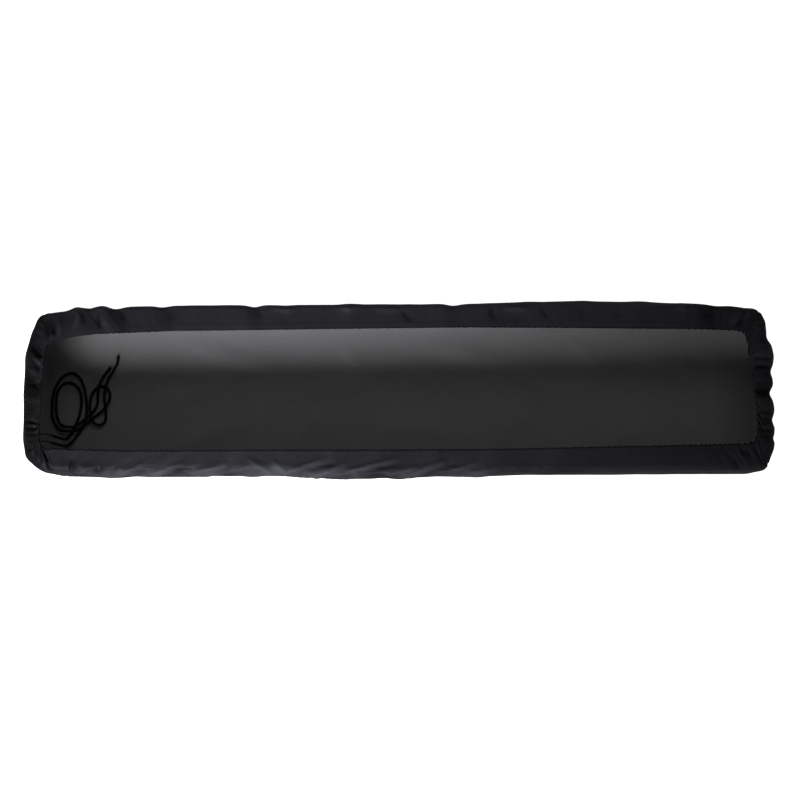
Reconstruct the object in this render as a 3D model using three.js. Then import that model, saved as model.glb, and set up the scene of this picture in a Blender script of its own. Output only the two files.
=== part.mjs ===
// A fitted stretch cover for a long keyboard, lying upside down on its top panel, with its gathered hem
// uppermost and the two ends of its drawstring loosely knotted inside.
// Millimetres, +Z up, +X along the cover. The origin is under the middle of the top panel.

import * as THREE from "three";

// Driving dimensions of the cloth.
const HEIGHT = 145;
const THICKNESS = 2;
const FOOT_RADIUS = 14;
const WIDEST_RIM = 22;
const CASING = { backThickness: 2.6, thickness: 7, edgeThickness: 4.5, backDrop: 0.3, drop: 2.4 };
const CLOTH_FINISH = { color: 0x212124, roughness: 0.8, metalness: 0 };

// Driving dimensions of the drawstring.
const CORD = { diameter: 5, sides: 8, step: 16, lift: 0.8, crossing: 2, rise: 1.5 };
const CORD_FINISH = { color: 0x161617, roughness: 0.65, metalness: 0 };

// The flat rails that the top panel's facets run in to.
const PANEL_RAILS = { halfLength: 580, halfDepth: 75, bays: 6 };

// Columns of facets round a corner and round a gentle bend, which is one with a larger radius.
const CORNER_COLUMNS = 5;
const BEND_COLUMNS = 1;
const BEND_RADIUS = 100;

// How much of a fold's depth is left at its ends, how far the gathers spread past the middle of their
// stretch, how unevenly they are spaced, and how squarely a side is faced where its folds start and are
// whole.
const FOLD_END = 0.35;
const GATHER_SPREAD = 0.55;
const GATHER_DRIFT = 0.9;
const SIDE_START = 0.3;
const SIDE_WHOLE = 0.8;

// The cover's corners and bends seen from above, anticlockwise from the left end. wall is where two side
// walls meet and hem is where the hem's free edge turns, each with the radius it bends by. rim is the radius
// that the cloth turns in by there, and steps are the facets along to the next row.
const OUTLINE = Object.values({
  left_middle: { wall: [-674.1, -35], wallBend: 300, rim: 22, hem: [-640, -35], hemBend: 300, steps: 6 },
  left_foot: { wall: [-674.6, -118], wallBend: 28, rim: 22, hem: [-642, -80], hemBend: 120, steps: 2 },
  front_left: { wall: [-636, -150], wallBend: 60, rim: 20, hem: [-643, -106], hemBend: 16, steps: 6 },
  front_knee: { wall: [-520, -152.3], wallBend: 900, rim: 16, hem: [-480, -110], hemBend: 900, steps: 15 },
  front_hollow: { wall: [-215, -149], wallBend: 300, rim: 16, hem: [-215, -108.9], hemBend: 900, steps: 4 },
  front_crest: { wall: [-125, -155], wallBend: 300, rim: 15, hem: [-125, -108.6], hemBend: 900, steps: 7 },
  front_rise: { wall: [10, -154.4], wallBend: 300, rim: 13, hem: [10, -108.2], hemBend: 900, steps: 3 },
  front_dip: { wall: [70, -150], wallBend: 200, rim: 12, hem: [70, -107.9], hemBend: 900, steps: 3 },
  front_swell: { wall: [132, -151.4], wallBend: 200, rim: 12, hem: [132, -107.6], hemBend: 900, steps: 4 },
  front_flat: { wall: [205, -147.6], wallBend: 300, rim: 11, hem: [205, -106.5], hemBend: 900, steps: 22 },
  front_right: { wall: [657.6, -145.4], wallBend: 24, rim: 14, hem: [641, -97], hemBend: 26, steps: 2 },
  right_foot: { wall: [672, -102], wallBend: 60, rim: 20, hem: [641.2, -64], hemBend: 120, steps: 3 },
  right_low: { wall: [671.5, -50], wallBend: 250, rim: 22, hem: [639.3, -38], hemBend: 120, steps: 8 },
  right_high: { wall: [671.3, 80], wallBend: 30, rim: 22, hem: [627, 62], hemBend: 160, steps: 1 },
  right_notch: { wall: [663.8, 95], wallBend: 40, rim: 20, hem: [625, 82], hemBend: 60, steps: 3 },
  back_right: { wall: [656.7, 144], wallBend: 30, rim: 16, hem: [621, 104.5], hemBend: 22, steps: 5 },
  back_slope: { wall: [560, 154.2], wallBend: 200, rim: 11, hem: [560, 107.5], hemBend: 500, steps: 12 },
  back_crest: { wall: [320, 159.7], wallBend: 900, rim: 10, hem: [320, 110], hemBend: 900, steps: 11 },
  back_middle: { wall: [110, 154], wallBend: 900, rim: 10, hem: [110, 111], hemBend: 900, steps: 25 },
  back_shoulder: { wall: [-420, 150.8], wallBend: 500, rim: 10, hem: [-405, 104.5], hemBend: 500, steps: 8 },
  back_knee: { wall: [-576, 146.8], wallBend: 50, rim: 12, hem: [-566, 98], hemBend: 300, steps: 2 },
  back_step: { wall: [-602, 140.8], wallBend: 60, rim: 13, hem: [-602, 89.6], hemBend: 100, steps: 3 },
  back_left: { wall: [-647.4, 136], wallBend: 26, rim: 16, hem: [-633, 82], hemBend: 24, steps: 3 },
  left_shoulder: { wall: [-671.2, 80], wallBend: 150, rim: 22, hem: [-635.5, 58], hemBend: 110, steps: 3 },
  left_high: { wall: [-674.6, 22], wallBend: 250, rim: 22, hem: [-638, 20], hemBend: 200, steps: 3 },
});

// The cloth's section from the top panel's edge, up the wall and in to the hem's edge. turn is how far the
// cloth has turned from lying flat, in degrees.
const SECTION = [
  footRow("panel_edge", 0),
  footRow("foot_bend", 45),
  footRow("wall_foot", 90),
  wallRow("wall_low", 0.34),
  wallRow("wall_high", 0.7),
  rimRow("wall_head", 90),
  rimRow("rim_low", 120),
  rimRow("rim_high", 150),
  rimRow("band_rim", 180),
  bandRow("band_middle", 0.42, 0, THICKNESS),
  bandRow("casing_back", 0.68, CASING.backDrop, CASING.backThickness),
  bandRow("casing_crown", 0.86, CASING.drop, CASING.thickness),
  bandRow("hem_edge", 1, CASING.drop, CASING.edgeThickness),
];

// The main folds. Each runs from one place to another, given along its side and as a height up the wall,
// and past the wall's top as a way in along the band. A negative depth is a trough.
const FOLDS = [
  { side: "front", from: [-590, 40], to: [-560, 165], width: 15, depth: -3 },
  { side: "front", from: [-535, 20], to: [-500, 160], width: 22, depth: 3.5 },
  { side: "front", from: [-478, 60], to: [-420, 172], width: 15, depth: 3.5 },
  { side: "front", from: [-440, 30], to: [-385, 160], width: 16, depth: -3 },
  { side: "front", from: [-372, 40], to: [-310, 172], width: 17, depth: 4 },
  { side: "front", from: [-340, 20], to: [-280, 150], width: 15, depth: -3.5 },
  { side: "front", from: [-278, 50], to: [-205, 174], width: 16, depth: 3.5 },
  { side: "front", from: [-212, 40], to: [-120, 172], width: 18, depth: 4.5 },
  { side: "front", from: [-165, 20], to: [-90, 150], width: 14, depth: -3 },
  { side: "front", from: [-122, 45], to: [-45, 174], width: 17, depth: 4.5 },
  { side: "front", from: [-25, 30], to: [52, 170], width: 18, depth: 4 },
  { side: "front", from: [22, 20], to: [90, 140], width: 14, depth: -3.5 },
  { side: "front", from: [76, 50], to: [165, 172], width: 20, depth: 3.5 },
  { side: "front", from: [205, 40], to: [275, 168], width: 26, depth: 2.5 },
  { side: "front", from: [372, 30], to: [420, 165], width: 30, depth: 1.5 },
  { side: "front", from: [560, 30], to: [585, 165], width: 18, depth: -2 },
  { side: "right", from: [-100, 20], to: [-96, 175], width: 9, depth: 2 },
  { side: "right", from: [-88, 30], to: [-87, 178], width: 5, depth: -1.2 },
  { side: "right", from: [-72, 25], to: [-70, 178], width: 9, depth: 2 },
  { side: "right", from: [-52, 25], to: [-53, 180], width: 7, depth: -1.4 },
  { side: "right", from: [-36, 20], to: [-34, 180], width: 15, depth: 2.6 },
  { side: "right", from: [-4, 30], to: [-6, 182], width: 9, depth: -5.2 },
  { side: "right", from: [16, 20], to: [15, 180], width: 9, depth: 1.4 },
  { side: "right", from: [35, 40], to: [32, 182], width: 7, depth: -2.9 },
  { side: "right", from: [56, 25], to: [60, 178], width: 13, depth: 4.5 },
  { side: "right", from: [98, 30], to: [90, 176], width: 10, depth: -1.5 },
  { side: "back", from: [585, 30], to: [560, 178], width: 17, depth: -3 },
  { side: "back", from: [455, 40], to: [420, 170], width: 24, depth: 2 },
  { side: "back", from: [318, 50], to: [345, 175], width: 18, depth: -1.2 },
  { side: "back", from: [210, 50], to: [245, 172], width: 18, depth: 2 },
  { side: "back", from: [100, 70], to: [96, 168], width: 14, depth: -3 },
  { side: "back", from: [-60, 60], to: [-100, 168], width: 18, depth: 2.5 },
  { side: "back", from: [-132, 60], to: [-150, 168], width: 14, depth: -2 },
  { side: "back", from: [-258, 50], to: [-262, 174], width: 13, depth: -3.5 },
  { side: "back", from: [-330, 40], to: [-300, 172], width: 20, depth: 3 },
  { side: "back", from: [-428, 50], to: [-424, 174], width: 13, depth: -3 },
  { side: "back", from: [-500, 40], to: [-515, 178], width: 14, depth: -4 },
  { side: "back", from: [-540, 40], to: [-545, 175], width: 14, depth: 3 },
  { side: "back", from: [-588, 30], to: [-600, 180], width: 12, depth: 1.2 },
  { side: "left", from: [90, 134], to: [72, 178], width: 12, depth: -2.5 },
  { side: "left", from: [58, 134], to: [40, 178], width: 12, depth: 2.5 },
  { side: "left", from: [26, 134], to: [6, 178], width: 13, depth: -2.5 },
  { side: "left", from: [-10, 136], to: [-30, 178], width: 14, depth: 2 },
  { side: "left", from: [-56, 136], to: [-72, 176], width: 12, depth: -2.5 },
  { side: "left", from: [-106, 60], to: [-112, 170], width: 13, depth: -3 },
];

// The gathers that the drawstring draws into the band, strongest at the hem: the stretch along a side that
// they fill, their pitch and their depth.
const GATHERS = [
  { side: "right", from: -110, to: 112, pitch: 25, depth: 2.8 },
  { side: "left", from: -110, to: 104, pitch: 26, depth: 2.4 },
  { side: "front", from: -660, to: -540, pitch: 32, depth: 2 },
  { side: "front", from: 560, to: 655, pitch: 32, depth: 2.4 },
  { side: "back", from: 520, to: 640, pitch: 32, depth: 2.4 },
  { side: "back", from: -640, to: -400, pitch: 34, depth: 2 },
];

// The sides of the cover: the way each faces, and whether a place along it is an x or a y.
const SIDES = {
  front: { facing: [0, -1], along: 0 },
  right: { facing: [1, 0], along: 1 },
  back: { facing: [0, 1], along: 0 },
  left: { facing: [-1, 0], along: 1 },
};

// Heights of the cord's middle where it lies on the cloth, where it crosses another turn, and at the hem.
const LAID = THICKNESS + CORD.diameter / 2 + CORD.lift;
const OVER = LAID + CORD.diameter + CORD.crossing;
const WELL_OVER = OVER + CORD.rise;
const PARTWAY = (LAID + OVER) / 2;
const AT_HEM = HEIGHT - THICKNESS / 2 - CASING.drop;

// The inner strand: out of the hem, down to the panel, round the inner turn and through the knot.
const INNER_STRAND = [
  [-640.4, -82, AT_HEM],
  [-633, -82, AT_HEM - 0.5],
  [-625, -82.5, AT_HEM - 6],
  [-621, -83, AT_HEM - 20],
  [-620, -83, 95],
  [-620, -83, 55],
  [-619.5, -82.5, 25],
  [-617, -78.5, 11],
  [-611.5, -69.5, LAID],
  [-603.5, -53, LAID],
  [-597, -34, LAID],
  [-594, -13, LAID],
  [-596, 6, LAID],
  [-605, 20, LAID],
  [-618, 25, LAID],
  [-631, 20, LAID],
  [-639, 7, LAID],
  [-641, -10, LAID],
  [-641, -28, LAID],
  [-637, -45, LAID],
  [-629, -55, PARTWAY],
  [-618, -58.5, OVER],
  [-607, -58, OVER],
  [-596, -52.5, OVER],
  [-586.5, -44, OVER],
  [-577, -35, LAID],
  [-569, -26, LAID],
  [-564, -13, LAID],
  [-563, 2, PARTWAY],
  [-561, 17, OVER],
  [-556, 31, PARTWAY],
  [-549, 43, LAID],
  [-540, 54, LAID],
];

// The outer strand: out of the hem, down to the panel, round the outer turn, and knotted round the inner
// one.
const OUTER_STRAND = [
  [-640.2, -95, AT_HEM],
  [-632, -95.5, AT_HEM - 0.5],
  [-623, -96, AT_HEM - 6],
  [-618, -96.5, AT_HEM - 20],
  [-617, -96.5, 95],
  [-617, -96.5, 55],
  [-616, -95, 27],
  [-612.5, -90, 13],
  [-605, -79.5, LAID + 1],
  [-594, -64, LAID],
  [-587, -48, LAID],
  [-584, -30, LAID],
  [-585, -10, LAID],
  [-589, 14, LAID],
  [-598, 34, LAID],
  [-612, 43, LAID],
  [-627, 38, LAID],
  [-640, 22, LAID],
  [-647, 2, LAID],
  [-649, -20, LAID],
  [-647, -42, LAID],
  [-639, -58, LAID],
  [-628, -65.5, OVER],
  [-616, -66.5, WELL_OVER],
  [-603, -65, OVER],
  [-591, -58.5, OVER],
  [-580, -49, PARTWAY],
  [-569, -39, LAID],
  [-559, -32, PARTWAY + 1],
  [-549, -23, OVER],
  [-542, -10, PARTWAY + 1],
  [-541, 5, LAID],
  [-548, 16, LAID],
  [-559, 18, LAID],
  [-569, 12, LAID],
  [-575, 0, PARTWAY],
  [-577, -14, OVER],
  [-576, -29, WELL_OVER],
  [-573, -43, WELL_OVER],
  [-566, -53, OVER],
  [-556, -54, PARTWAY],
  [-549, -46, LAID],
  [-548, -32, LAID],
  [-550, -17, LAID],
  [-551, -1, PARTWAY],
  [-548, 17, OVER],
  [-543, 33, PARTWAY],
  [-535, 48, LAID],
  [-528, 62, LAID],
  [-527, 76, LAID],
];

// One row of the section in the bend between the top panel and the wall.
function footRow(name, turn) {
  const angle = THREE.MathUtils.degToRad(turn);
  return {
    name,
    turn: angle,
    reach: 0,
    thickness: THICKNESS,
    inset: () => FOOT_RADIUS * (1 - Math.sin(angle)),
    height: () => THICKNESS / 2 + FOOT_RADIUS * (1 - Math.cos(angle)),
  };
}

// One row of the section in the bend between the wall and the band, whose radius is the rim's.
function rimRow(name, turn) {
  const angle = THREE.MathUtils.degToRad(turn);
  return {
    name,
    turn: angle,
    reach: 0,
    thickness: THICKNESS,
    inset: (rim) => rim * (1 - Math.sin(angle)),
    height: (rim) => HEIGHT - THICKNESS / 2 - rim * (1 + Math.cos(angle)),
  };
}

// One row of the section a share of the way up the straight wall.
function wallRow(name, share) {
  const low = footRow(name, 90);
  const high = rimRow(name, 90);
  return { ...low, height: (rim) => THREE.MathUtils.lerp(low.height(rim), high.height(rim), share) };
}

// One row of the section a share of the way in along the band, dropped from its level.
function bandRow(name, reach, drop, thickness) {
  const start = rimRow(name, 180);
  return { ...start, reach, thickness, height: (rim) => start.height(rim) - drop };
}

// The columns of an outline: an arc round each corner, then even steps along to the next.
function outlineColumns(pointKey, radiusKey) {
  const corners = OUTLINE.map((row, i) => {
    const here = new THREE.Vector2(...row[pointKey]);
    const before = new THREE.Vector2(...OUTLINE.at(i - 1)[pointKey]);
    const after = new THREE.Vector2(...OUTLINE[(i + 1) % OUTLINE.length][pointKey]);
    const inward = before.sub(here).normalize();
    const onward = after.sub(here).normalize();
    const half = Math.acos(THREE.MathUtils.clamp(inward.dot(onward), -1, 1)) / 2;
    const cut = row[radiusKey] / Math.tan(half);
    const start = here.clone().addScaledVector(inward, cut);
    const end = here.clone().addScaledVector(onward, cut);
    return { arc: new THREE.QuadraticBezierCurve(start, here, end), start, end };
  });
  return corners.flatMap((corner, i) => {
    const next = corners[(i + 1) % corners.length];
    const gentle = OUTLINE[i].wallBend > BEND_RADIUS;
    const round = corner.arc.getPoints(gentle ? BEND_COLUMNS : CORNER_COLUMNS);
    const straight = new THREE.LineCurve(corner.end, next.start);
    return [...round, ...straight.getPoints(OUTLINE[i].steps).slice(1, -1)];
  });
}

// The rim's radius at each column of the outline.
function outlineRims() {
  return OUTLINE.flatMap((row, i) => {
    const next = OUTLINE[(i + 1) % OUTLINE.length];
    const bend = row.wallBend > BEND_RADIUS ? BEND_COLUMNS : CORNER_COLUMNS;
    const round = Array.from({ length: bend + 1 }, () => row.rim);
    const straight = Array.from({ length: row.steps - 1 }, (_, k) =>
      THREE.MathUtils.lerp(row.rim, next.rim, (k + 1) / row.steps),
    );
    return [...round, ...straight];
  });
}

// A smooth bump of height 1 that fades out over its width.
function bump(distance, width) {
  return Math.exp(-((distance / width) ** 2));
}

// How far a place is from the fold's line, measured as a share along it and a distance across it.
function placeOnFold(fold, along, up) {
  const start = new THREE.Vector2(...fold.from);
  const line = new THREE.Vector2(...fold.to).sub(start);
  const place = new THREE.Vector2(along, up).sub(start);
  const share = THREE.MathUtils.clamp(place.dot(line) / line.lengthSq(), 0, 1);
  return { share, across: place.distanceTo(line.multiplyScalar(share)) };
}

// How far the folds and gathers push the cloth out at a column and a way up its section.
function push(column, up, reach) {
  let total = 0;
  for (const [name, side] of Object.entries(SIDES)) {
    const facing = column.normal.dot(new THREE.Vector2(...side.facing));
    const weight = THREE.MathUtils.smoothstep(facing, SIDE_START, SIDE_WHOLE);
    const along = column.wall.getComponent(side.along);
    for (const fold of FOLDS.filter((row) => row.side === name)) {
      const { share, across } = placeOnFold(fold, along, up);
      const fade = THREE.MathUtils.lerp(FOLD_END, 1, Math.sin(Math.PI * share));
      total += weight * fold.depth * fade * bump(across, fold.width);
    }
    for (const row of GATHERS.filter((gather) => gather.side === name)) {
      const middle = (row.from + row.to) / 2;
      const inZone = bump(along - middle, (row.to - row.from) * GATHER_SPREAD);
      const drift = GATHER_DRIFT * Math.sin(along / row.pitch);
      const wave = Math.cos((2 * Math.PI * along) / row.pitch + drift);
      total += weight * row.depth * inZone * wave * reach;
    }
  }
  return total;
}

// The columns round the cover, each with its place on the wall and the hem, the way out and its rim.
function coverColumns() {
  const wall = outlineColumns("wall", "wallBend");
  const hem = outlineColumns("hem", "hemBend");
  const rims = outlineRims();
  return wall.map((place, i) => {
    const before = wall.at(i - 1);
    const after = wall[(i + 1) % wall.length];
    const normal = new THREE.Vector2(after.y - before.y, before.x - after.x).normalize();
    return { wall: place, hem: hem[i], normal, rim: rims[i] };
  });
}

// The way up the section to each of its rows, as a height on the wall and a way in past its top.
function sectionWays() {
  const bandLength = OUTLINE[0].hem[0] - OUTLINE[0].wall[0] - WIDEST_RIM;
  return SECTION.map((row) => {
    const past = Math.max(row.inset(WIDEST_RIM) * Math.sign(row.turn - Math.PI / 2), 0);
    return row.height(WIDEST_RIM) + past + row.reach * bandLength;
  });
}

// One face of the cloth as rows of points, pushed to one side of its middle by half its thickness.
function clothFace(columns, sideOfCloth) {
  const ways = sectionWays();
  return SECTION.map((row, r) =>
    columns.map((column) => {
      const out = new THREE.Vector3(column.normal.x, column.normal.y, 0);
      const rim = column.wall.clone().addScaledVector(column.normal, -row.inset(column.rim));
      const plan = rim.lerp(column.hem, row.reach);
      const facing = out.multiplyScalar(Math.sin(row.turn)).setZ(-Math.cos(row.turn));
      const folded = row.turn > 0 ? push(column, ways[r], row.reach) : 0;
      const offset = folded + (sideOfCloth * row.thickness) / 2;
      const middle = new THREE.Vector3(plan.x, plan.y, row.height(column.rim));
      return middle.addScaledVector(facing, offset);
    }),
  );
}

// The ring of rail points that the top panel's facets run in to, anticlockwise from its left end.
function panelRails(height) {
  const { halfLength, halfDepth, bays } = PANEL_RAILS;
  const stations = Array.from({ length: bays + 1 }, (_, i) => halfLength * ((2 * i) / bays - 1));
  const front = stations.map((x) => new THREE.Vector3(x, -halfDepth, height));
  const back = stations.map((x) => new THREE.Vector3(x, halfDepth, height)).reverse();
  return [...front, ...back];
}

// The index of the rail point that a point of the panel's edge runs in to.
function nearestRail(point) {
  const { halfLength, bays } = PANEL_RAILS;
  const station = Math.round(((point.x / halfLength + 1) / 2) * bays);
  const kept = THREE.MathUtils.clamp(station, 0, bays);
  return point.y < 0 ? kept : 2 * bays + 1 - kept;
}

// The triangles of the top panel inside its edge, facing up.
function panelTriangles(edge, rails) {
  const triangles = [];
  edge.forEach((point, c) => {
    const next = edge[(c + 1) % edge.length];
    const last = nearestRail(next);
    let rail = nearestRail(point);
    triangles.push([point, next, rails[rail]]);
    while (rail !== last) {
      const following = (rail + 1) % rails.length;
      triangles.push([next, rails[following], rails[rail]]);
      rail = following;
    }
  });
  for (let i = 0; i < PANEL_RAILS.bays; i++) {
    const back = rails.length - 1 - i;
    triangles.push([rails[i], rails[i + 1], rails[back - 1]]);
    triangles.push([rails[i], rails[back - 1], rails[back]]);
  }
  return triangles;
}

// The triangles of a strip between two closed rows of points.
function stripTriangles(low, high) {
  return low.flatMap((point, c) => {
    const next = (c + 1) % low.length;
    return [
      [point, low[next], high[next]],
      [point, high[next], high[c]],
    ];
  });
}

// A geometry from a list of triangles.
function geometryOf(triangles) {
  return new THREE.BufferGeometry().setFromPoints(triangles.flat());
}

// The cover: its outer face, its inner face turned round, the hem's edge between them and the top panel.
function coverGeometry() {
  const columns = coverColumns();
  const outer = clothFace(columns, 1);
  const inner = clothFace(columns, -1);
  const triangles = stripTriangles(outer.at(-1), inner.at(-1));
  for (let r = 0; r + 1 < SECTION.length; r++) {
    triangles.push(...stripTriangles(outer[r], outer[r + 1]));
    triangles.push(...stripTriangles(inner[r], inner[r + 1]).map((corners) => corners.reverse()));
  }
  triangles.push(...panelTriangles(inner[0], panelRails(THICKNESS)));
  triangles.push(...panelTriangles(outer[0], panelRails(0)).map((corners) => corners.reverse()));
  return geometryOf(triangles);
}

// A strand of the drawstring: a round section swept along its route.
function strandGeometry(route) {
  const points = route.map((point) => new THREE.Vector3(...point));
  const path = new THREE.CatmullRomCurve3(points, false, "centripetal");
  const section = new THREE.Shape(
    Array.from({ length: CORD.sides }, (_, i) => {
      const angle = (2 * Math.PI * i) / CORD.sides;
      return new THREE.Vector2(Math.cos(angle), Math.sin(angle)).multiplyScalar(CORD.diameter / 2);
    }),
  );
  const steps = Math.round(path.getLength() / CORD.step);
  return new THREE.ExtrudeGeometry(section, { extrudePath: path, steps, bevelEnabled: false });
}

// A named mesh with a finish of its own.
function piece(name, geometry, finish) {
  const mesh = new THREE.Mesh(geometry, new THREE.MeshStandardMaterial(finish));
  mesh.name = name;
  return mesh;
}

const keyboardCover = new THREE.Group();
keyboardCover.add(piece("cover", coverGeometry(), CLOTH_FINISH));

const drawstring = new THREE.Group();
drawstring.add(piece("drawstring_inner", strandGeometry(INNER_STRAND), CORD_FINISH));
drawstring.add(piece("drawstring_outer", strandGeometry(OUTER_STRAND), CORD_FINISH));
keyboardCover.add(drawstring);

export default keyboardCover;
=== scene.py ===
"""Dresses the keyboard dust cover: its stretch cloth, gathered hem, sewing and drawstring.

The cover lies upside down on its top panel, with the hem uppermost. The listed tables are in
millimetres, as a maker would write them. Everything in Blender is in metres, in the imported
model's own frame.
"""

from __future__ import annotations

import logging
import math
from collections.abc import Callable, Iterable, Mapping, Sequence
from dataclasses import astuple, dataclass
from enum import Enum
from typing import Any

import bmesh
import bpy
import numpy as np
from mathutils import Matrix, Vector, noise


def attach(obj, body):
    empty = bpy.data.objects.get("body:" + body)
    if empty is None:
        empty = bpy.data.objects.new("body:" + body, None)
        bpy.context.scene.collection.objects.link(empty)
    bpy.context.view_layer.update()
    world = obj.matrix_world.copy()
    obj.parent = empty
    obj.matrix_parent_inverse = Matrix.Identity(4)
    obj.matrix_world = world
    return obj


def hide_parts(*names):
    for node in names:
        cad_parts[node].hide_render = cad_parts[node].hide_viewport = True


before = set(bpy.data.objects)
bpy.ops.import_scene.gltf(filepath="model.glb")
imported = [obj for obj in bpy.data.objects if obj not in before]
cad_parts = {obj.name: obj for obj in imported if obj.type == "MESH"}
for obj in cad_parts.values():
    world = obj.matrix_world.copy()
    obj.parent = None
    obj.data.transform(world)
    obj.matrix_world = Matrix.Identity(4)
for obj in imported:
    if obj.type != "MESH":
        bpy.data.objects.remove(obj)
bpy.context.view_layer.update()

LOG = logging.getLogger("keyboard_cover")
MM = 0.001
NOISE_MEAN = 0.5
UP = np.array((0.0, 0.0, 1.0))

Array = np.ndarray
BMesh = bmesh.types.BMesh
Material = bpy.types.Material
Object = bpy.types.Object
Place = tuple[float, float]
Point = tuple[float, float, float]
Colour = tuple[float, float, float]


class Side(Enum):
    """A side of the cover: the way it faces, and the axis that places along it are measured on."""

    FRONT = ((0.0, -1.0), 0)
    RIGHT = ((1.0, 0.0), 1)
    BACK = ((0.0, 1.0), 0)
    LEFT = ((-1.0, 0.0), 1)

    @property
    def facing(self) -> Array:
        """The way that the side faces, seen from above."""
        return np.array(self.value[0])

    @property
    def axis(self) -> int:
        """The axis that places along the side are measured on."""
        return self.value[1]


class Wander(Enum):
    """The smooth wandering values that make the cloth uneven: the size of their swells, and their seed."""

    SURFACE = (40 * MM, 3.7)
    PITCH = (0.05, 1.3)
    FINE_PITCH = (0.017, 5.1)
    DEPTH = (0.03, 8.4)
    DRAG = (17 * MM, 6.6)
    PANEL = (75 * MM, 2.2)

    def at(self, places: Array) -> Array:
        """Reads the value, which is the same on every run.

        Args:
            places: Points, with their three numbers on the last axis.

        Returns:
            The value at each point, from about -1 to 1.
        """
        scale, seed = self.value
        shift = Vector((seed, -seed, 2 * seed))
        flat = places.reshape(-1, 3) / scale
        return np.array([noise.noise(Vector(p) + shift) for p in flat]).reshape(places.shape[:-1])


@dataclass(frozen=True)
class Ramp:
    """A smooth rise from 0 at its low value to 1 at its high one."""

    low: float
    high: float

    def __call__(self, value: Array) -> Array:
        """How far it has risen at each value."""
        share = np.clip((value - self.low) / (self.high - self.low), 0, 1)
        return share * share * (3 - 2 * share)

    def fall(self, value: Array) -> Array:
        """How far it has yet to rise at each value."""
        return 1 - self(value)


@dataclass(frozen=True)
class Turn:
    """A corner or bend of the cover seen from above, in millimetres.

    Attributes:
        wall: Where the two stretches of side wall would meet.
        wall_radius: How widely the wall turns there.
        rim: How widely the cloth rounds the wall's head there.
        hem: Where the two stretches of hem would meet.
        hem_radius: How widely the hem turns there.
    """

    wall: Place
    wall_radius: float
    rim: float
    hem: Place
    hem_radius: float


@dataclass(frozen=True)
class Crease:
    """A fold or crease along a straight line, in millimetres.

    Attributes:
        start: Its first end. The sides' folds give it along the side and up the wall, and past the
            wall's top in along the band. Other creases give it as it is seen from above.
        end: Its other end.
        width: How far from its line it fades out.
        depth: How far it stands out, or, below 0, sinks in.
    """

    start: Place
    end: Place
    width: float
    depth: float

    def measure(self, places: Array) -> tuple[Array, Array]:
        """Measures places against the crease's line.

        Args:
            places: The places, with their two numbers on the last axis.

        Returns:
            How far along the line each place is, from 0 to 1, and its distance from the line.
        """
        line = np.subtract(self.end, self.start)
        share = np.clip(((places - self.start) @ line) / (line @ line), 0, 1)
        return share, np.linalg.norm(places - self.start - share[..., None] * line, axis=-1)


def creases(*rows: Sequence[float]) -> tuple[Crease, ...]:
    """Creases from rows that hold a start, an end, a width and a depth."""
    return tuple(Crease(row[:2], row[2:4], *row[4:]) for row in rows)


@dataclass(frozen=True)
class Gather:
    """A stretch of hem that the drawstring gathers, in millimetres.

    Attributes:
        middle: The middle of the stretch, seen from above.
        spread: How far from there it fades out.
        strength: How deep its gathers are.
        outer: How much of them goes on out over the wall.
    """

    middle: Place
    spread: float
    strength: float
    outer: float


@dataclass(frozen=True)
class Seam:
    """A corner seam, up the wall at one place and then in along the band to the hem, in millimetres.

    Attributes:
        wall: Its place on the wall, seen from above.
        hem: Its place at the hem's edge.
        depth: How deep it sinks in on the wall.
        band_depth: How deep it sinks in on the band.
        width: How wide it is.
    """

    wall: Place
    hem: Place
    depth: float
    band_depth: float
    width: float


@dataclass(frozen=True)
class PaintedShade:
    """A stretch of cloth with painted shade, darker than the rest, seen from above, in millimetres.

    Attributes:
        middle: Its middle.
        spread: How far from there it fades out, along X and along Y.
        amount: Its painted shade, or, below 0, its painted light, as a share of the cloth's range of tones.
    """

    middle: Place
    spread: Place
    amount: float


TURNS = (
    Turn((-674.1, -35), 300, 22, (-640, -35), 300),
    Turn((-674.6, -118), 28, 22, (-642, -80), 120),
    Turn((-636, -150), 60, 20, (-643, -106), 16),
    Turn((-520, -152.3), 900, 16, (-480, -110), 900),
    Turn((-215, -149), 300, 16, (-215, -108.9), 900),
    Turn((-125, -155), 300, 15, (-125, -108.6), 900),
    Turn((10, -154.4), 300, 13, (10, -108.2), 900),
    Turn((70, -150), 200, 12, (70, -107.9), 900),
    Turn((132, -151.4), 200, 12, (132, -107.6), 900),
    Turn((205, -147.6), 300, 11, (205, -106.5), 900),
    Turn((657.6, -145.4), 24, 14, (641, -97), 26),
    Turn((672, -102), 60, 20, (641.2, -64), 120),
    Turn((671.5, -50), 250, 22, (639.3, -38), 120),
    Turn((671.3, 80), 30, 22, (627, 62), 160),
    Turn((663.8, 95), 40, 20, (625, 82), 60),
    Turn((656.7, 144), 30, 16, (621, 104.5), 22),
    Turn((560, 154.2), 200, 11, (560, 107.5), 500),
    Turn((320, 159.7), 900, 10, (320, 110), 900),
    Turn((110, 154), 900, 10, (110, 111), 900),
    Turn((-420, 150.8), 500, 10, (-405, 104.5), 500),
    Turn((-576, 146.8), 50, 12, (-566, 98), 300),
    Turn((-602, 140.8), 60, 13, (-602, 89.6), 100),
    Turn((-647.4, 136), 26, 16, (-633, 82), 24),
    Turn((-671.2, 80), 150, 22, (-635.5, 58), 110),
    Turn((-674.6, 22), 250, 22, (-638, 20), 200),
)

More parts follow.
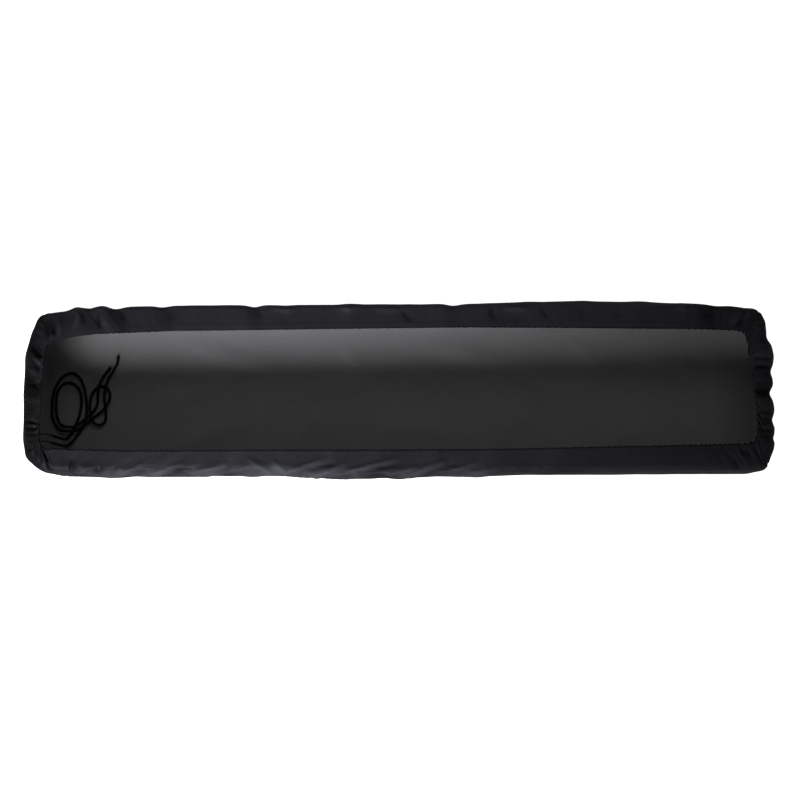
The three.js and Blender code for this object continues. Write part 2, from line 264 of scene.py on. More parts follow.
FOLDS = {
    Side.FRONT: creases(
        (-590, 40, -560, 165, 15, -3), (-535, 20, -500, 160, 22, 3.5), (-478, 60, -420, 172, 15, 3.5),
        (-440, 30, -385, 160, 16, -3), (-372, 40, -310, 172, 17, 4), (-340, 20, -280, 150, 15, -3.5),
        (-278, 50, -205, 174, 16, 3.5), (-212, 40, -120, 172, 18, 4.5), (-165, 20, -90, 150, 14, -3),
        (-122, 45, -45, 174, 17, 4.5), (-25, 30, 52, 170, 18, 4), (22, 20, 90, 140, 14, -3.5),
        (76, 50, 165, 172, 20, 3.5), (205, 40, 275, 168, 26, 2.5), (372, 30, 420, 165, 30, 1.5),
        (560, 30, 585, 165, 18, -2), (-490, -60, -486, 160, 18, -2), (-272, -60, -266, 160, 16, 1.8),
        (-32, -60, -24, 160, 16, -2), (146, -60, 150, 160, 14, 1.6),
    ),
    Side.RIGHT: creases(
        (-100, 20, -96, 175, 9, 2), (-88, 30, -87, 178, 5, -1.2), (-72, 25, -70, 178, 9, 2),
        (-52, 25, -53, 180, 7, -1.4), (-36, 20, -34, 180, 15, 2.6), (-4, 30, -6, 182, 9, -5.2),
        (16, 20, 15, 180, 9, 1.4), (35, 40, 32, 182, 7, -2.9), (56, 25, 60, 178, 13, 4.5),
        (98, 30, 90, 176, 10, -1.5),
    ),
    Side.BACK: creases(
        (585, 30, 560, 178, 17, -3), (455, 40, 420, 170, 24, 2), (318, 50, 345, 175, 18, 0.6),
        (210, 50, 245, 172, 18, 0.6), (100, 70, 96, 168, 14, -3), (-60, 60, -100, 168, 18, 1.2),
        (-200, 50, -206, 170, 15, -1.6), (-258, 50, -262, 174, 13, -3.5),
        (-330, 40, -300, 172, 20, 0.6), (-428, 50, -424, 174, 13, -3), (-500, 40, -515, 178, 14, -4),
        (-533, 40, -537, 175, 13, 3.2), (-556, 40, -558, 170, 8, -1.4), (-580, 40, -584, 178, 9, 2.6),
    ),
    Side.LEFT: creases(
        (90, 134, 72, 178, 12, -2.5), (58, 134, 40, 178, 12, 2.5), (26, 134, 6, 178, 13, -2.5),
        (-10, 136, -30, 178, 14, 2), (-56, 136, -72, 176, 12, -2.5), (-106, 60, -112, 170, 13, -3),
    ),
}

BAND_CREASES = creases(
    (-584, -147, -583, -124, 5, -4), (-574, -151, -552, -139, 7, 3), (-542, -153, -530, -136, 8, -3.4),
    (-514, -152, -506, -140, 8, -2.6), (-500, -152, -455, -134, 7, 3.6),
    (-470, -150, -432, -143, 6, -3), (-440, -151, -384, -132, 7, 3.4), (-402, -149, -352, -140, 6, -3),
    (-372, -151, -306, -133, 7, 3.6), (-330, -149, -284, -140, 6, -3), (-300, -149, -262, -136, 7, 3),
    (-269, -126, -225, -149, 6, 3.4), (-225, -129, -200, -147, 6, 3.2),
    (-214, -151, -139, -128, 6, 4.2), (-176, -148, -118, -133, 5, -3.2),
    (-150, -154, -92, -133, 6, 3.8), (-123, -154, -7, -127, 6, 4.6), (-70, -150, 0, -134, 5, -3.4),
    (-36, -156, 34, -139, 6, 3.4), (0, -155, 82, -130, 6, 4.4), (48, -150, 100, -136, 5, -3),
    (72, -153, 140, -131, 7, 3.6), (128, -153, 178, -140, 8, 2.6), (300, -150, 390, -140, 12, 1.6),
    (599, -126, 609, -144, 4.8, -3.7), (616, -103, 629, -122, 3.6, -4.1),
    (608, -100, 616, -118, 3.6, -3.1), (-630, 124, -629, 95, 4, -5), (-621, 118, -620, 94, 4, -4.6),
    (-608, 118, -606, 96, 4.8, 2.7), (-576, 138, -575, 106, 4.8, 4.1),
    (-569, 138, -568, 108, 4.8, -3.7), (-540, 142, -538, 110, 4.8, -3), (-528, 142, -529, 112, 6, 1.6),
    (-500, 142, -494, 122, 9, -2.2), (-412, 145, -408, 126, 9, -1.8), (-256, 147, -248, 130, 8, -2),
    (-222, 144, -192, 143, 6, 2.7), (-104, 145, -84, 144, 6, 2.7), (-40, 144, 0, 143, 6, 2),
    (8, 140, 12, 131, 6, -2.8), (12, 131, 24, 125, 6, -2.2), (168, 147, 165, 138, 4.8, -2.8),
    (165, 138, 173, 126, 4.8, -2.6), (188, 146, 230, 145, 7.2, 3.4), (256, 146, 266, 130, 6, -2.8),
    (331, 144, 328, 128, 8, -1.8), (391, 140, 396, 128, 7, -1.8), (500, 147, 516, 146, 7.2, 2.7),
    (552, 138, 556, 126, 7, -2.2), (592, 119, 608, 126, 4.8, 2.7), (606, 111, 620, 126, 3.6, -4.4),
    (-656, 78, -642, 57, 6, -4.2), (-660, 67, -641, 44, 6, 3.2), (-659, 55, -639, 31, 6, -4.2),
    (-662, 38, -642, 15, 6, 3.2), (-664, 24, -645, -1, 6, -4.2), (-668, -56, -645, -61, 3.6, -3.8),
    (-668, -62, -646, -65, 3.6, 2.2), (-668, -68, -646, -70, 3.6, -3.8),
    (-667, -80, -645, -80, 3.6, -3.2), (-653, -102, -652, -121, 4.8, 2.4),
    (632, 56, 664, 55, 3.6, -3.4), (636, 41, 666, 41, 4.8, -4.8), (639, 13, 665, 12, 4.8, -3.2),
    (641, -5, 663, -5, 6, -3.8), (645, -41, 666, -42, 3.6, -3.2), (647, -62, 668, -62, 3.6, -3.2),
    (647, -73, 669, -74, 3.6, -3.8), (646, -84, 669, -86, 3.6, -3.2),
)

PANEL_CREASES = creases(
    (-500, -20, -330, 24, 18, 2), (-450, -102, -290, -46, 15, 3), (-400, 98, -240, 48, 14, 2.6),
    (-205, -104, -150, -18, 12, 2.6), (-190, 8, -40, 34, 18, 2.2), (-110, 100, -70, 46, 11, 2.4),
    (-60, -52, 140, -70, 18, 2.4), (60, 98, 190, 58, 14, 2.8), (170, -102, 235, -30, 12, 2.8),
    (230, 20, 380, 4, 18, 2.2), (330, 102, 372, 50, 11, 2.4), (360, -100, 470, -58, 14, 2.6),
    (450, 70, 560, 26, 14, 2.6), (600, -92, 520, -40, 13, 3), (604, 84, 556, 62, 11, 2.4),
)

GATHERS = (
    Gather((642, -20), 105, 1.0, 1.0),
    Gather((632, 62), 60, 1.0, 0.8),
    Gather((634, -96), 45, 1.25, 0.8),
    Gather((618, 100), 40, 1.25, 0.5),
    Gather((560, 106), 80, 0.6, 0.0),
    Gather((560, -100), 75, 0.6, 0.1),
    Gather((-640, 20), 95, 0.8, 0.1),
    Gather((-640, -80), 45, 0.9, 0.15),
    Gather((-628, 82), 40, 1.1, 0.2),
    Gather((-510, 102), 110, 0.5, 0.1),
    Gather((-580, -106), 70, 0.55, 0.1),
)

SEAMS = (
    Seam((-617, -150), (-643, -108), 1.2, 7.5, 3),
    Seam((660, -133), (634, -94), 1.4, 2, 2.6),
    Seam((646, 138), (614, 98), 1.4, 2, 2.6),
    Seam((-637, 131), (-625, 78), 1.2, 1.6, 2.4),
)

# Painted shade, and painted light where an amount is below 0, at stretches of the cloth.
PAINTED_SHADES = (
    PaintedShade((-660, 0), (24, 115), 0.6),
    PaintedShade((-648, -130), (26, 24), 0.42),
    PaintedShade((-602, -144), (24, 14), 0.2),
    PaintedShade((-600, 125), (110, 34), 0.32),
    PaintedShade((-330, 125), (160, 34), 0.08),
    PaintedShade((-560, -138), (64, 10), 0.24),
    PaintedShade((70, -150), (150, 9), 0.1),
    PaintedShade((270, -149), (110, 11), 0.4),
    PaintedShade((540, 125), (130, 34), 0.14),
    PaintedShade((676, -10), (26, 110), 0.12),
    PaintedShade((-515, -143), (75, 4.5), 0.32),
    PaintedShade((-318, -140), (95, 4.5), 0.3),
    PaintedShade((-400, -153), (190, 5), -0.09),
    PaintedShade((-30, -157), (85, 6), 0.4),
    PaintedShade((540, -128), (110, 14), -0.12),
)


def bump(distance: Array, width: float) -> Array:
    """A smooth bump of height 1 that fades out over its width."""
    return np.exp(-((distance / width) ** 2))


def pinch(distance: Array, width: float, crest: float = 0.3, taper: float = 1.7) -> Array:
    """A bump of height 1 with a narrow crest and long flanks, as a drawn thread of cloth makes."""
    return np.exp(crest - np.sqrt((taper * distance / width) ** 2 + crest**2))


def unit(vectors: Array) -> Array:
    """The vectors at length 1."""
    return vectors / np.linalg.norm(vectors, axis=-1, keepdims=True)


def steps(line: Array) -> Array:
    """The lengths between the points of a line."""
    return np.linalg.norm(np.diff(line, axis=0), axis=1)


def run(line: Array) -> Array:
    """How far along a line each of its points is."""
    return np.concatenate([[0.0], np.cumsum(steps(line))])


def closed(line: Array) -> Array:
    """A line with its first point again at its end."""
    return np.vstack([line, line[:1]])


def picked(at: Array, along: Array, line: Array) -> Array:
    """A line's points at other places along it."""
    return np.stack([np.interp(at, along, numbers) for numbers in line.T], axis=-1)


def stand(name: str, data: bpy.types.ID) -> Object:
    """Puts a new object into the scene.

    Args:
        name: Its name.
        data: Its mesh, light or camera.

    Returns:
        The object.
    """
    made = bpy.data.objects.new(name, data)
    bpy.context.scene.collection.objects.link(made)
    return made


def shaped(name: str, bm: BMesh) -> Object:
    """Puts a finished mesh into the scene.

    Args:
        name: The piece's name.
        bm: Its mesh, which is freed.

    Returns:
        The piece's object.
    """
    mesh = bpy.data.meshes.new(name)
    bm.to_mesh(mesh)
    bm.free()
    mesh.shade_smooth()
    return stand(name, mesh)


def rolled(bm: BMesh, rings: Array) -> Array:
    """Lays a grid on rings of points, not yet closed, so that a map can run round them.

    Args:
        bm: The mesh that is being made.
        rings: The rings' points, one ring after another.

    Returns:
        The grid's vertices, ring by ring. Each ring ends with a second vertex at its first point.
    """
    rows, count = rings.shape[:2]
    made = bmesh.ops.create_grid(bm, x_segments=count, y_segments=rows - 1, size=1.0)
    verts = np.array(made["verts"], dtype=object).reshape(rows, count + 1)
    for (r, c), vert in np.ndenumerate(verts):
        vert.co = rings[r, c % count]
    return verts


def weld(bm: BMesh, verts: Array) -> None:
    """Closes the rings of a rolled grid."""
    bmesh.ops.weld_verts(bm, targetmap={ring[-1]: ring[0] for ring in verts})


def cap(bm: BMesh, *tubes: Array) -> None:
    """Closes the ends of tubes of welded rings, and turns their faces outwards.

    Args:
        bm: The mesh that is being made.
        tubes: Each tube's vertices, ring by ring.
    """
    for tube in tubes:
        for ring in (tube[0], tube[-1]):
            bm.faces.new(list(ring[:-1]))
    bmesh.ops.recalc_face_normals(bm, faces=bm.faces)


def lay_map(faces: Iterable, uv: Any, place: Callable[[Any], Sequence[float]]) -> None:
    """Writes the map of some faces.

    Args:
        faces: The faces.
        uv: The layer of map coordinates.
        place: Gives a vertex's place on the map.
    """
    for face in faces:
        for loop in face.loops:
            loop[uv].uv = place(loop.vert)


@dataclass(frozen=True)
class Columns:
    """The columns of cloth round the cover, one after another anticlockwise.

    Attributes:
        wall: Where each column's wall stands, seen from above.
        hem: Where each column's hem edge is.
        out: The way out from the wall.
        inward: The way in from the hem's edge.
        rim: How widely the cloth rounds the wall's head.
        along: How far along the wall each column is.
        length: The length all the way round the wall.
        hem_length: The length all the way round the hem.
    """

    wall: Array
    hem: Array
    out: Array
    inward: Array
    rim: Array
    along: Array
    length: float
    hem_length: float

    @property
    def share(self) -> Array:
        """How far along the wall each column is, as a share of the way round."""
        return self.along / self.length

    @property
    def circle(self) -> Array:
        """A point of a circle for each column, so that what wanders along it closes."""
        ring = 2 * math.pi * self.share
        return np.stack([np.cos(ring), np.sin(ring), np.zeros_like(ring)], axis=1)

    def nearest(self, line: Array, place: Place) -> float:
        """How far along the wall the column is whose point on a line is nearest to a place."""
        return float(self.along[np.argmin(np.linalg.norm(line - np.array(place) * MM, axis=1))])

    def shorter(self, way: Array) -> Array:
        """A way along the wall, taken the shorter way round."""
        return (way + self.length / 2) % self.length - self.length / 2


@dataclass(frozen=True)
class Outline:
    """The cover's closed outline seen from above, spaced into columns of cloth.

    The spacing is fine at the ends, where the hem is gathered, coarse along the middle of the long
    sides, and closest in the zone of a corner seam. A bend takes at least the least cut from the
    straights beside it.
    """

    fine: float = 2.2 * MM
    coarse: float = 3.4 * MM
    from_middle: Ramp = Ramp(530 * MM, 590 * MM)
    seam_spacing: float = 1.1 * MM
    seam_zone: float = 14 * MM
    least_cut: float = 1 * MM
    arc_points: int = 60
    straight_points: int = 240

    def columns(self) -> Columns:
        """Spaces columns round the outline, closer where the cloth has finer folds.

        Returns:
            The columns.
        """
        wall = self._line([turn.wall for turn in TURNS], [turn.wall_radius for turn in TURNS])
        hem = self._line([turn.hem for turn in TURNS], [turn.hem_radius for turn in TURNS])
        along = run(closed(wall))
        count = np.concatenate([[0.0], np.cumsum(steps(closed(wall)) / self._spacing(wall))])
        total = round(count[-1])
        at = np.arange(total) / total * count[-1]
        places = np.interp(at, count, along)
        bends = np.arange(len(TURNS)) * (self.arc_points + self.straight_points) + self.arc_points // 2
        rims = np.array([turn.rim for turn in TURNS]) * MM
        return Columns(
            wall=picked(at, count, closed(wall)),
            hem=picked(at, count, closed(hem)),
            out=unit(picked(at, count, closed(self._outward(wall)))),
            inward=-unit(picked(at, count, closed(self._outward(hem)))),
            rim=np.interp(places, along[bends], rims, period=along[-1]),
            along=places,
            length=float(along[-1]),
            hem_length=float(steps(closed(hem)).sum()),
        )

    def _line(self, corners: Sequence[Place], radii: Sequence[float]) -> Array:
        """Draws a closed line of close points with its corners rounded.

        Args:
            corners: The corners, in millimetres.
            radii: How widely the line turns at each of them, in millimetres.

        Returns:
            The line's points, in metres.
        """
        corner = np.array(corners) * MM
        before = unit(np.roll(corner, 1, axis=0) - corner)
        after = unit(np.roll(corner, -1, axis=0) - corner)
        half = np.arccos(np.clip((before * after).sum(axis=1), -1, 1)) / 2
        cut = np.maximum(np.array(radii) * MM / np.tan(half), self.least_cut)[:, None]
        starts = corner + before * cut
        ends = corner + after * cut
        t = np.linspace(0, 1, self.arc_points, endpoint=False)[:, None]
        u = np.linspace(0, 1, self.straight_points, endpoint=False)[:, None]
        pieces = []
        for start, middle, end, onward in zip(starts, corner, ends, np.roll(starts, -1, axis=0)):
            pieces.append((1 - t) ** 2 * start + 2 * t * (1 - t) * middle + t**2 * end)
            pieces.append(end + u * (onward - end))
        return np.vstack(pieces)

    def _spacing(self, wall: Array) -> Array:
        """Says how closely the columns stand.

        Args:
            wall: The points of the wall.

        Returns:
            The spacing that is wanted at each of them.
        """
        far = self.from_middle(np.abs(wall[:, 0]))
        spacing = self.coarse + (self.fine - self.coarse) * far
        for seam in SEAMS:
            near = bump(np.linalg.norm(wall - np.array(seam.wall) * MM, axis=1), self.seam_zone)
            spacing = spacing + (self.seam_spacing - spacing) * near
        return spacing

    @staticmethod
    def _outward(line: Array) -> Array:
        """The way out from each point of a closed anticlockwise line."""
        ahead = np.roll(line, -1, axis=0) - np.roll(line, 1, axis=0)
        return unit(np.stack([ahead[:, 1], -ahead[:, 0]], axis=1))


@dataclass(frozen=True)
class Station:
    """One row of the cloth's section, before its folds.

    Attributes:
        inset: How far in from the wall it is.
        height: How high the cloth's middle is.
        reach: How far in along the band it is, from 0 at the rim to 1 at the hem's edge.
        turn: How far the cloth has turned from lying flat, in radians.
        lift: How far its outer face is from its middle.
        past: How far past the hem's edge it is.
    """

    inset: float
    height: float
    reach: float
    turn: float
    lift: float
    past: float = 0.0


@dataclass(frozen=True)
class Rows:
    """The stations' own values, one below another.

    Two more are the height of the wall's head, where the rim's bend starts, and how far up the fold
    tables' own scale each row is.
    """

    inset: Array
    height: Array
    reach: Array
    turn: Array
    lift: Array
    past: Array
    head: float
    up: Array


@dataclass(frozen=True)
class CoverSection:
    """The cloth's section, from the top panel's edge up the wall, in along the band and round the hem.

    The hem's casing starts at the stitches, a share of the way in along the band. It rises to its
    crown beside them, and rounds the hem's edge from its shoulder. Its lift and depth are how far
    its two faces are from its middle, which drops below the band's. The band's way is its length in
    the fold tables, and the underside is where the cloth ends: how far past the stitches, how deep.
    """

    height: float = 145 * MM
    thickness: float = 2 * MM
    foot_radius: float = 14 * MM
    rim_radius: float = 22 * MM
    band_way: float = 13.3 * MM
    casing_start: float = 0.66
    beside_stitches: float = 0.06
    beside_dip: float = 0.35
    shoulder: float = 0.9
    shoulder_depth: float = 0.7
    casing_lift: float = 1.5 * MM
    casing_depth: float = 3.4 * MM
    casing_drop: float = 0.9 * MM
    crown_drop: float = 0.75
    stitch_dip: float = 0.3 * MM
    edge_angles: tuple[float, ...] = (20, 55, 90, 125, 160)
    underside: Place = (0.04, 0.6 * MM)
    foot_rows: int = 4
    wall_rows: int = 5
    rim_rows: int = 11
    band_rows: int = 6

    def rows(self) -> Rows:
        """Lists the rows from the panel's edge to the hem's sewn-down edge under the casing.

        Returns:
            The rows.
        """
        foot = [self._foot(turn) for turn in np.linspace(0, math.pi / 2, self.foot_rows)]
        heights = np.linspace(foot[-1].height, self.head, self.wall_rows + 2)[1:-1]
        wall = [Station(0, height, 0, math.pi / 2, self.middle) for height in heights]
        rim = [self._rim(turn) for turn in np.linspace(math.pi / 2, math.pi, self.rim_rows)]
        reaches = np.linspace(0, self.casing_start, self.band_rows + 1)[1:-1]
        band = [self._band(reach, 0.0, self.middle) for reach in reaches]
        stations = foot + wall + rim + band + self._casing()
        inset, height, reach, turn, lift, past = np.array([astuple(s) for s in stations]).T[..., None]
        over_rim = np.where(turn > math.pi / 2, inset, 0)
        up = height + over_rim + np.minimum(reach, 1) * self.band_way
        return Rows(inset, height, reach, turn, lift, past, self.head, up)

    @property
    def middle(self) -> float:
        """Half the solid cloth's thickness."""
        return self.thickness / 2

    @property
    def head(self) -> float:
        """The height of the wall's head, where the rim's bend starts."""
        return self.height - self.middle - self.rim_radius

    def tightened(self, rows: Rows, rim: Array) -> tuple[Array, Array]:
        """Rounds the rim more tightly in places, and lengthens the wall below it to suit.

        Args:
            rows: The rows.
            rim: How widely the cloth rounds the wall's head in each column.

        Returns:
            How far in from the wall, and how high, each row and column is.
        """
        tight = rim / self.rim_radius
        top = self.height - self.middle
        low = self.foot_radius
        over_rim = rows.turn > math.pi / 2
        inset = np.where(over_rim, rows.inset * tight, rows.inset)
        raised = top - (top - self.head) * tight
        stretched = low + (rows.height - low) * (raised - low) / (self.head - low)
        rounded = np.where(rows.height <= self.head, stretched, top - (top - rows.height) * tight)
        above_foot = (rows.turn >= math.pi / 2) & (rows.reach == 0)
        return inset, np.where(above_foot, rounded, rows.height)

    def _foot(self, turn: float) -> Station:
        """A row in the bend between the top panel and the wall."""
        height = self.middle + self.foot_radius * (1 - math.cos(turn))
        return Station(self.foot_radius * (1 - math.sin(turn)), height, 0, turn, self.middle)

    def _rim(self, turn: float) -> Station:
        """A row in the bend between the wall and the band."""
        inset = self.rim_radius * (1 - math.sin(turn))
        return Station(inset, self.head - self.rim_radius * math.cos(turn), 0, turn, self.middle)

    def _band(self, reach: float, drop: float, lift: float, past: float = 0.0) -> Station:
        """A row along the band, a share of the way in to the hem's edge."""
        level = self.height - self.middle
        return Station(self.rim_radius, level - drop, reach, math.pi, lift, past)

    def _casing(self) -> list[Station]:
        """Lists the rows over the hem's casing, round the hem's edge and back underneath.

        Returns:
            The rows.
        """
        start, drop, lift = self.casing_start, self.casing_drop, self.casing_lift
        crown = (start + 1) / 2
        past_stitches, sewn_depth = self.underside
        over = [
            self._band(start, self.stitch_dip, self.middle),
            self._band(start + self.beside_stitches, self.beside_dip * self.stitch_dip, self.middle),
            self._band(crown, self.crown_drop * drop, lift),
            self._band(self.shoulder, drop, lift),
        ]
        angles = np.radians(self.edge_angles)
        edge = [self._band(1.0, drop, lift * math.cos(a), lift * (math.sin(a) - 1)) for a in angles]
        under = [
            self._band(self.shoulder, drop, -self.shoulder_depth * self.casing_depth),
            self._band(crown, drop, -self.casing_depth),
            self._band(start + past_stitches, drop, -sewn_depth),
        ]
        return over + edge + under


@dataclass(frozen=True)
class MainFolds:
    """The main folds of the sides, and the sharper creases of the band.

    All of them keep a share of their depth at their ends. The creases fade in up the wall, and have
    a loss of depth on the way in along the band.
    """

    ends: float = 0.35
    on_side: Ramp = Ramp(0.3, 0.8)
    crease_start: Ramp = Ramp(108 * MM, 128 * MM)
    crease_end: Ramp = Ramp(0.5, 0.72)
    crease_loss: float = 0.7

    def push(self, rows: Rows, columns: Columns, plan: Array) -> Array:
        """Works out how far they push the cloth out.

        Args:
            rows: The cloth's rows.
            columns: Its columns.
            plan: Where each row and column is, seen from above.

        Returns:
            The push of each row and column.
        """
        folded = np.zeros(plan.shape[:2])
        for side, folds in FOLDS.items():
            weight = self.on_side(columns.out @ side.facing)
            places = np.stack(np.broadcast_arrays(columns.wall[:, side.axis] / MM, rows.up / MM), axis=-1)
            for fold in folds:
                share, across = fold.measure(places)
                fade = self._fade(np.sin(math.pi * share))
                folded += weight * fade * fold.depth * MM * bump(across, fold.width)
        creased = np.zeros(plan.shape[:2])
        for crease in BAND_CREASES:
            share, across = crease.measure(plan / MM)
            fade = self._fade(np.sqrt(np.sin(math.pi * share)))
            creased += fade * crease.depth * MM * pinch(across, crease.width)
        shown = self.crease_start(rows.up) * (1 - self.crease_loss * self.crease_end(rows.reach))
        return folded + creased * shown

    def _fade(self, swell: Array) -> Array:
        """The share of a fold's depth along it, from a swell that is 0 at its ends and 1 in its middle."""
        return self.ends + (1 - self.ends) * swell


@dataclass(frozen=True)
class DragFolds:
    """The slanting folds where the cloth is pulled along the front and, less, along the back.

    They go along by their slant for each length up, and climb a little for each length along. They
    are strongest at their middle, and over their spread they weaken to their least share.
    """

    depth: float = 1.5 * MM
    slant: float = 2.6
    stretch: float = 3.2
    climb: float = 0.28
    middle: float = -0.16
    spread: float = 0.36
    least: float = 0.3
    on_back: float = 0.35
    on_side: Ramp = Ramp(0.6, 0.95)
    start: Ramp = Ramp(112 * MM, 140 * MM)
    end: Ramp = Ramp(160 * MM, 172 * MM)

    def push(self, rows: Rows, columns: Columns, plan: Array) -> Array:
        """Works out how far they push the cloth out.

        Args:
            rows: The cloth's rows.
            columns: Its columns.
            plan: Where each row and column is, seen from above.

        Returns:
            The push of each row and column.
        """
        x = plan[..., 0]
        facing = columns.out[:, 1]
        lean = ((x - self.slant * rows.up) / self.stretch, rows.up + self.climb * x, np.sign(facing))
        folds = 1 - 2 * np.abs(Wander.DRAG.at(np.stack(np.broadcast_arrays(*lean), axis=-1)))
        strong = self.least + (1 - self.least) * bump(x - self.middle, self.spread)
        strong = strong * np.where(facing > 0, self.on_back, 1)
        shown = self.start(rows.up) * self.end.fall(rows.up)
        return self.depth * folds * self.on_side(np.abs(facing)) * strong * shown


@dataclass(frozen=True)
class HemGathers:
    """The drawstring's gathers: fine ones at the hem, which join in pairs on the way out from it.

    The wider kinds are two and four of the finest, joined. Each kind fades in at its start, up the
    cloth or in along the band, and out at its end, where a loss says how much of it goes. A stretch
    of the table no longer counts where its strength is faint. The hem's edge is scalloped by at
    least one share on the back and another elsewhere.
    """

    pitch: float = 8.6 * MM
    depths: tuple[float, ...] = (1.1 * MM, 1.7 * MM, 2.2 * MM)
    joined: tuple[int, ...] = (1, 2, 4)
    uneven_pitch: tuple[float, float] = (0.9, 0.35)
    uneven_depth: float = 0.7
    least: float = 0.16
    faint: float = 1e-6
    valley: float = 0.03
    level: float = 0.66
    fine_start: Ramp = Ramp(0.35, 0.75)
    fine_end: Ramp = Ramp(0.9, 1.0)
    fine_loss: float = 0.35
    middle_start: Ramp = Ramp(140 * MM, 160 * MM)
    middle_end: Ramp = Ramp(0.55, 0.8)
    middle_loss: float = 0.8
    wide_start: Ramp = Ramp(70 * MM, 140 * MM)
    wide_end: Ramp = Ramp(150 * MM, 168 * MM)
    scallop: float = 3.2 * MM
    scallop_start: Ramp = Ramp(0.7, 1.0)
    least_scallop: tuple[float, float] = (0.08, 0.35)
    facing_back: float = 0.5

    def phase(self, columns: Columns) -> Array:
        """Works out the finest gathers' phase, which closes where the wider gathers' does too.

        Args:
            columns: The cloth's columns.

        Returns:
            The phase at each column, in radians.
        """
        slow, quick = self.uneven_pitch
        most = self.joined[-1]
        count = most * round(columns.hem_length / self.pitch / most)
        circle = columns.circle
        uneven = Wander.PITCH.at(circle) * slow + Wander.FINE_PITCH.at(circle) * quick
        return 2 * math.pi * (count * columns.share + uneven)

    def push(self, rows: Rows, columns: Columns) -> Array:
        """Works out how far they push the cloth out.

        Args:
            rows: The cloth's rows.
            columns: Its columns.

        Returns:
            The push of each row and column.
        """
        strength, outer = self._spread(columns)
        phase = self.phase(columns)
        near = self.fine_start(rows.reach) * (1 - self.fine_loss * self.fine_end(rows.reach))
        half_way = self.middle_start(rows.up) * (1 - self.middle_loss * self.middle_end(rows.reach))
        far = self.wide_start(rows.up) * self.wide_end.fall(rows.up) * outer
        kinds = zip(self.depths, (near, half_way, far), self.joined)
        ridges = sum(depth * shown * self._ridges(phase / joined) for depth, shown, joined in kinds)
        return strength * (1 + self.uneven_depth * Wander.DEPTH.at(columns.circle)) * ridges

    def scallops(self, rows: Rows, columns: Columns) -> Array:
        """Works out how far in they push the hem's edge.

        Args:
            rows: The cloth's rows.
            columns: Its columns.

        Returns:
            How far in each row and column goes.
        """
        strength, _ = self._spread(columns)
        least = np.where(columns.out[:, 1] > self.facing_back, *self.least_scallop)
        edge = (least + strength) * self._ridges(self.phase(columns))
        return -self.scallop * self.scallop_start(rows.reach) * edge

    def _spread(self, columns: Columns) -> tuple[Array, Array]:
        """Works out where the hem is gathered.

        Args:
            columns: The cloth's columns.

        Returns:
            How strongly each column is gathered, and how much of that goes on out over the wall.
        """
        strength = np.full(len(columns.along), self.least)
        total = np.full(len(columns.along), self.faint)
        outer = np.zeros(len(columns.along))
        for gather in GATHERS:
            near = bump(np.linalg.norm(columns.hem / MM - gather.middle, axis=1), gather.spread)
            strength = np.maximum(strength, gather.strength * near)
            total += near
            outer += near * gather.outer
        return strength, outer / total

    def _ridges(self, phase: Array) -> Array:
        """Rounded ridges between sharp valleys, about 0 on average."""
        return np.sqrt(np.sin(phase / 2) ** 2 + self.valley) - self.level


@dataclass(frozen=True)
class CornerSeams:
    """The corner seams, which draw the cloth in, and the small puckers beside them.

    The puckers sway with the hem's gathers. A seam takes on its depth on the band soon after the
    wall's head, and has a loss of depth under the casing.
    """

    gathers: HemGathers
    on_band: Ramp = Ramp(0.15, 0.45)
    pucker_length: float = 2.1 * MM
    pucker_sway: float = 0.4
    pucker_depth: float = 0.35 * MM
    pucker_reach: float = 7 * MM
    end: Ramp = Ramp(0.7, 0.9)
    loss: float = 0.6

    def push(self, rows: Rows, columns: Columns) -> Array:
        """Works out how far they push the cloth out.

        Args:
            rows: The cloth's rows.
            columns: Its columns.

        Returns:
            The push of each row and column, which is below 0 on a seam.
        """
        total = np.zeros((len(rows.up), len(columns.along)))
        inward = Ramp(rows.head, rows.up.max())(rows.up)
        sway = self.pucker_sway * np.sin(self.gathers.phase(columns) / self.gathers.joined[-1])
        pucker = self.pucker_depth * np.sin(rows.up / self.pucker_length + sway)
        for seam in SEAMS:
            wall = columns.nearest(columns.wall, seam.wall)
            hem = columns.nearest(columns.hem, seam.hem)
            away = columns.shorter(columns.along - (wall + columns.shorter(hem - wall) * inward))
            depth = seam.depth + (seam.band_depth - seam.depth) * self.on_band(inward)
            total -= depth * MM * bump(away, seam.width * MM)
            total += pucker * bump(away, self.pucker_reach)
        return total * (1 - self.loss * self.end(rows.reach))


